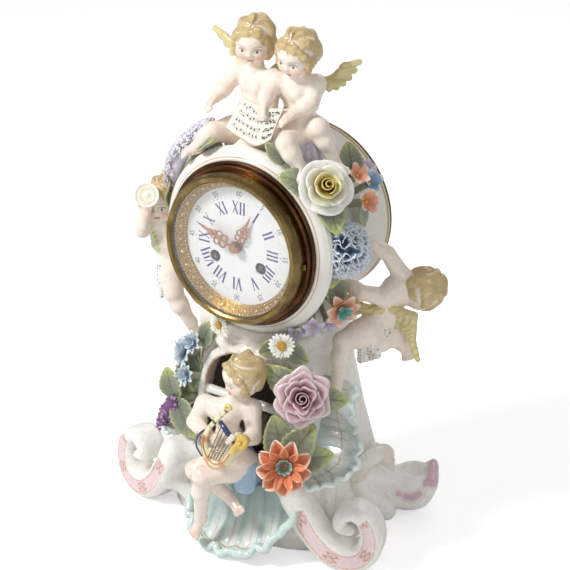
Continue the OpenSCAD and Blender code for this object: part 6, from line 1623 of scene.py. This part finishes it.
colour = add(tree, "ShaderNodeMix", {"Factor": object_noise(tree, 30.0), 6: linear("#F3F0E9"),
    7: linear("#E9E5DC")}, data_type="RGBA").outputs[2]
for radii, depths, hex_code, strength in (((0.0648, 0.0655), (-0.058, -0.0525), "#C08E5C", 0.8),
        ((0.0655, 0.07), (0.0375, 0.0392), "#C29A5A", 0.85),
        ((0.055, 0.068), (-0.0395, -0.0388), "#DDA9A0", 0.7)):
    line = add(tree, "ShaderNodeMath", {0: within(radius, *radii), 1: within(parts["Y"], *depths)},
        operation="MULTIPLY")
    colour = over(tree, colour, line, hex_code, strength)
feed(shader, {"Base Color": colour})
surface_of(tree, shader, 9.0, (0.08, 0.18), 7.0, 2.0, 0.5, 0.15, 0.12)

FINISHES = [(lacquered, "rear_door case_straps front_plate back_plate going_barrel strike_barrel "
    "intermediate_wheel centre_wheel third_wheel escape_wheel minute_wheel hour_wheel suspension_cock "
    "pendulum"), (patinated, "bezel_ring rear_ring"), (flange_brown, "bezel_flange"), (gilt, "sight_ring"),
    (copper, "hour_hand minute_hand"), (bell_metal, "bell"), (enamel, "dial"), (glass, "bezel_glass"),
    (dark_steel, "winding_arbor_right winding_arbor_left"),
    (steel, "hinge_pins strap_screws pallets cannon_pinion bell_hammer"), (drum_glaze, "drum_case")]
for finish, names in FINISHES:
    for node in names.split():
        for slot in frame["nodes"][node].material_slots:
            slot.material = finish
print("finished", sum(len(names.split()) for _, names in FINISHES), "packed parts")

# %% [markdown]
# The sight ring is chased: rosettes and dots between two rims of beading, planted on its slope.
# %% Chased sight ring
RING_IN, RING_OUT, RING_Y, RING_RISE = 46.0, 51.3, -62.0, -5.8


def on_slope(share, count, shift):
    turn = 2 * math.pi * (np.arange(count) + shift) / count
    radius, y = RING_IN + (RING_OUT - RING_IN) * share, RING_Y + RING_RISE * share
    places = np.column_stack([radius * np.sin(turn), np.full(count, y), AXIS_Z + radius * np.cos(turn)])
    ways = np.column_stack([-0.74 * np.sin(turn), np.full(count, -0.67), -0.74 * np.cos(turn)])
    return places, ways


bead_form = turned_form("bead_form", [(0, -0.7), (0.8, -0.4), (1, 0), (0.7, 0.5), (0, 0.7)], ["#FFFFFF"], 6)
rosette_form = turned_form("rosette_form", [(0, -0.4), (0.9, -0.2), (1.0, 0.06), (0.45, 0.3), (0.3, 0.16),
    (0.2, 0.42), (0, 0.5)], ["#FFFFFF"], 20, 5, 0.4)
for name, form, share, count, size, shift in (
        ("sight_beads_inner", bead_form, 0.06, 120, 0.85, 0),
        ("sight_beads_outer", bead_form, 0.94, 132, 0.85, 0),
        ("sight_rosettes", rosette_form, 0.5, 30, 2.1, 0), ("sight_dots_inner", bead_form, 0.28, 60, 0.5,
        0.5),
        ("sight_dots_outer", bead_form, 0.72, 60, 0.5, 0.5),
        ("sight_dots_middle", bead_form, 0.5, 30, 0.85, 0.5)):
    places, ways = on_slope(share, count, shift)
    plant(name, form, places, ways, size, linear("#FFFFFF"), 0.0, glaze=burnished_and_highlit)

# %% [markdown]
# ## Shells
# Rocaille is shell-work: fans of ribs from a root line to a frilled rim, with a tube as its lip.
# %% Shell basin and rocaille


def shell_fan(name, node, root, rim, sag, ribs, relief, frill, thick, lip, hexes, arc=0.62):
    """A ribbed fan between two lines; sag is the pull of its middle in mm."""
    n, m = ((240, 48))
    a, b = along(root, n)[:, None, :], along(rim, n)[:, None, :]
    v, t = np.linspace(0, 1, m)[None, :, None], np.linspace(0, 1, n)[:, None]
    middle = (a + b) / 2 + np.asarray(sag, float)
    grid = a * (1 - v) ** 2 + 2 * middle * v * (1 - v) + b * v ** 2
    wave = np.abs(np.sin(math.pi * ribs * t))
    grid = grid + units(b - a) * ((wave - 0.6) * frill)[:, :, None] * v ** 3
    normal = np.cross(np.gradient(grid, axis=0), np.gradient(grid, axis=1))
    normal /= np.linalg.norm(normal, axis=2, keepdims=True) + 1e-9
    v = v[:, :, 0]
    ruffle = 0.4 * frill * np.sin(3 * math.pi * ribs * t + 1) * smooth(v, 0.75, 1)
    grid = grid + normal * ((wave - 0.6) * relief * np.sin(math.pi * (0.15 + 0.75 * v)) + ruffle)[:, :, None]
    inner, outer, shade = hexes
    v_flat, w_flat = np.tile(v, (n, 1)).ravel(), np.tile(wave, (1, m)).ravel()
    line = smooth(w_flat, 0.985, 0.998) * smooth(v_flat, 0.25, 0.35) * (1 - smooth(v_flat, 0.72, 0.8))
    ring = smooth(-np.abs(v_flat - arc), -0.022, -0.01)
    paste = Paste()
    paste.sheet(grid, coats(n * m, inner, (shade, (1 - smooth(v_flat, 0.15, 0.7)) * 0.75),
        (shade, (1 - smooth(w_flat, 0.05, 0.6)) * 0.5 * (1 - smooth(v_flat, 0.7, 0.95))),
        (outer, smooth(v_flat, 0.6, 0.95) * 0.95), (GOLD, np.maximum(line * 0.4, ring * 0.8))), thick)
    paste.tube(grid[::3, -1], lip * (0.8 + 0.3 * wave[::3, 0]), outer, 10)
    paste.piece(name, node)


BASIN = ("#EAEEEA", "#D3E5DF", "#8DA9A3")
SEA = ("#EDEEEA", "#DDE9E5", "#A3B8B3")
shell_fan("front_shell_basin", "front_shell",
    [(-30, -58, 40), (-12, -64, 47), (12, -65, 52), (36, -62, 58), (54, -54, 62)],
    [(-36.3, -67.3, 26), (-28.7, -77.7, 15.6), (-17.2, -85.9, 8.8), (-3, -91.2, 6.2), (12.6, -93, 6.8),
    (28.2, -91.2, 9.4), (42.4, -85.9, 16.6), (53.9, -77.7, 28.6), (61.5, -67.3, 46.8)],
    (0, 2, -27), 7, 2.0, 3.0, 3.0, 3.2, BASIN, 0.8)
ROOT = np.array([(46.2, -21, 137.6), (50.4, -25.2, 123.8), (52.1, -30, 111.8), (57.1, -36, 98),
    (60.5, -40.8, 84.3), (60.5, -45.6, 75.7), (58.8, -51, 70.5), (52.1, -54, 68.8)])
shell_fan("rocaille_right_fan", "rocaille_right", ROOT,
    [(79.8, -15, 135.9), (79, -21.6, 122.1), (84, -28.8, 110.1), (93.2, -33.6, 99.8), (96.6, -42, 84.3),
    (92.4, -51.6, 79.1), (82.3, -64.8, 74), (72.2, -72, 72.2)], (-3, 5, 0), 8, 1.6, 3.4, 3.4, 2.2, SEA)
shell_fan("rocaille_left_fan", "rocaille_left", ROOT * [-1, 1, 1],
    [(-61.3, -18.3, 136.8), (-63.3, -23.6, 123.1), (-66.4, -29.5, 111), (-73.4, -34.9, 98.8),
    (-76.7, -41.3, 84.3), (-74.8, -48.3, 77.2), (-69.4, -57.2, 72.1), (-61.2, -62.1, 70.3)],
    (2, 4, 0), 7, 1.2, 2.4, 3.4, 2.2, SEA)

# %% [markdown]
# ## Things in their hands
# The lyre is a bent band with strings, a scroll and a horn. The cymbal is a turned cup. The song
# sheet is a folded page; its staves are thin strips laid on its curve.
# %% Lyre
MUSICIAN, LEFT_CHILD, LEFT_SINGER = (np.array(p, float) for p in ((14.3, -78, 82), (-82, -24, 204),
    (-18.9, -11.8, 317.2)))
paste = Paste()
band_path = MUSICIAN + along([(5, -20, 51), (-6, -26, 36), (-10, -28, 24), (-6, -30, 14), (2, -31, 9),
    (10, -30, 13), (15, -28, 22), (20, -27, 30), (24, -27, 36)], 90)
girth = np.interp(np.linspace(0, 1, 90), np.linspace(0, 1, 9), [2, 2.5, 3.5, 4.5, 5, 4.5, 3.5, 4, 6]) * 0.92
t = np.linspace(0, 1, 90)
paint = coats(90, "#EDE5B8", ("#E3B38C", smooth(np.sin(t * 34), 0.35, 0.8) * (t > 0.16) * (t < 0.62)),
    ("#2E2A28", smooth(np.sin(t * 160), 0.7, 0.95) * (t < 0.16)), ("#DDBE62", smooth(t, 0.7, 0.8)))
paste.tube(band_path, girth, paint, 16, 0.75)
for k in (-1, 1):
    edge = band_path[18:66] + np.array([0, -3.1, 0]) + k * 0.55 * girth[18:66, None] * unit((0.3, -0.2, 1))
    paste.tube(edge, 0.55, "#D09672", 6)
scroll = [band_path[0] + (2.6 * math.cos(a) * (1 - a / 9), -0.6, 2.6 * math.sin(a) * (1 - a / 9) + 1)
    for a in np.linspace(0, 6.5, 22)]
paste.tube(scroll, np.linspace(1.5, 0.7, 22), "#E9D27A", 8)
horn = MUSICIAN + along([(24, -27, 36), (26, -28, 33), (25, -30, 30), (22, -31, 30.5), (22.5, -31.4, 33),
    (24.4, -31.4, 33)], 24)
paste.tube(horn, np.linspace(3.2, 1.0, 24), "#DDBE62", 10)
bar = [MUSICIAN + (2, -25.4, 42), MUSICIAN + (9, -27, 36.6), MUSICIAN + (17, -28, 30)]
paste.tube(bar, [1.9, 2.2, 1.9], "#3C4468", 10)
for k in range(5):
    top = bar[0] + (bar[2] - bar[0]) * (0.16 + 0.17 * k) + (0, -1.9, 0)
    foot = MUSICIAN + (-2 + 2.2 * k, -34.6, 15)
    paste.tube([top, top * 0.5 + foot * 0.5, foot], 0.38, "#6E6A68", 6)
u, v = sheet_lines(14, 14)
board = MUSICIAN + np.stack([2 + (8 - 2 * u) * v * np.sqrt(np.clip(1 - (1 - u) ** 2 * 0.6, 0, 1)) + 0 * u,
    -30.5 - 0.8 * (1 - v ** 2) + 0 * u, 10 + 11 * u + 0 * v], -1)
paste.sheet(board, "#EFE5BC", 2.2)
strap = MUSICIAN + along([(-9, -26, 33), (-16, -27, 26), (-19, -26, 16), (-13, -27, 9)], 24)
paste.tube(strap, 1.1, "#3C4468", 8, 0.6)
paste.piece("lyre_modelled", "lyre")

# %% Cymbal
paste = Paste()
paste.turned(facing(LEFT_CHILD + (-5, -30, 56), (0.433, -0.75, 0.5)),
    [(0, 0), (6, 0.1), (9.1, 0.5), (9.5, 1.2), (9.2, 1.95), (8.5, 1.9), (8.0, 1.3), (6.2, 1.1), (5.7, 1.45),
    (5.1, 1.05), (2.0, 1.1), (1.2, 1.9), (0, 2.1)], ["#E9E2D0", "#F4F0E4", "#EDE6D3", "#F4F0E4"], 48)
paste.piece("cymbal_turned", "cymbal")

# %% Song sheet
PAGES = LEFT_SINGER + 100 * np.array([
    [(0.07, -0.27, 0.32), (0.18, -0.3, 0.31), (0.29, -0.31, 0.3), (0.36, -0.3, 0.31), (0.42, -0.28, 0.32)],
    [(-0.02, -0.37, 0.1), (0.12, -0.39, 0.06), (0.25, -0.4, 0.03), (0.33, -0.39, 0.06), (0.38, -0.38, 0.1)]])
top_edge, low_edge = along(PAGES[0], 61), along(PAGES[1], 61)


def on_page(across, down, lift=0.0):
    """A place on the sheet, 0 to 1 across and down."""
    across, down = np.broadcast_arrays(np.asarray(across, float), np.asarray(down, float))
    i = np.clip(across * 60, 0, 60)
    k = np.arange(61)
    ends = [np.stack([np.interp(i, k, edge[:, c]) for c in range(3)], -1) for edge in (top_edge, low_edge)]
    belly = 0.9 * np.sin(math.pi * down)[..., None] * np.array([0, -1.0, -0.3])
    return ends[0] * (1 - down[..., None]) + ends[1] * down[...,
        None] + belly + lift * np.array([0.1, -0.93, 0.36])


paste, random = Paste(), np.random.default_rng(21)
across, down = np.linspace(0, 1, 41)[:, None], np.linspace(0, 1, 19)[None, :]
rim = np.maximum(np.abs(2 * across - 1), np.abs(2 * down - 1)).ravel()
paste.sheet(on_page(across, down), coats(41 * 19, "#F3EFE2", ("#D9BC86", smooth(rim, 0.94, 1.0) * 0.7)), 1.5)
for left, right in ((0.06, 0.54), (0.62, 0.94)):
    for staff in range(4):
        top = 0.12 + 0.21 * staff
        for line in range(5):
            run = np.linspace(left, right, 14)[:, None]
            high = top + 0.022 * line + np.array([[-0.003, 0.003]])
            paste.sheet(on_page(run, high, 0.82), "#8C8680", 0.12)
        for k in range(7):
            x = left + (right - left) * (k + 0.5 + random.uniform(-0.2, 0.2)) / 7
            y = top + 0.022 * random.integers(0, 5)
            paste.turned(facing(on_page(x, y, 0.86), (0.1, -0.93, 0.36)), [(0, -0.1), (0.62, 0), (0, 0.12)],
                ["#55504C"], 8)
            run = np.array([[0.0], [0.075]]) * (1 if k % 2 else -1) + y
            paste.sheet(on_page(x + np.array([[0.0, 0.006]]) + 0 * run, run + 0 * x, 0.84), "#55504C", 0.12)
paste.piece("song_sheet_page", "song_sheet")

# %% [markdown]
# ## Bodies
# Every piece rides on a body of the imported model.
# %% Bodies
for piece in list(bpy.data.objects):
    body = piece.get("ride_on")
    if piece.get("planted_away"):
        bpy.data.objects.remove(piece)
    elif body:
        del piece["ride_on"]
        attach(piece, body)
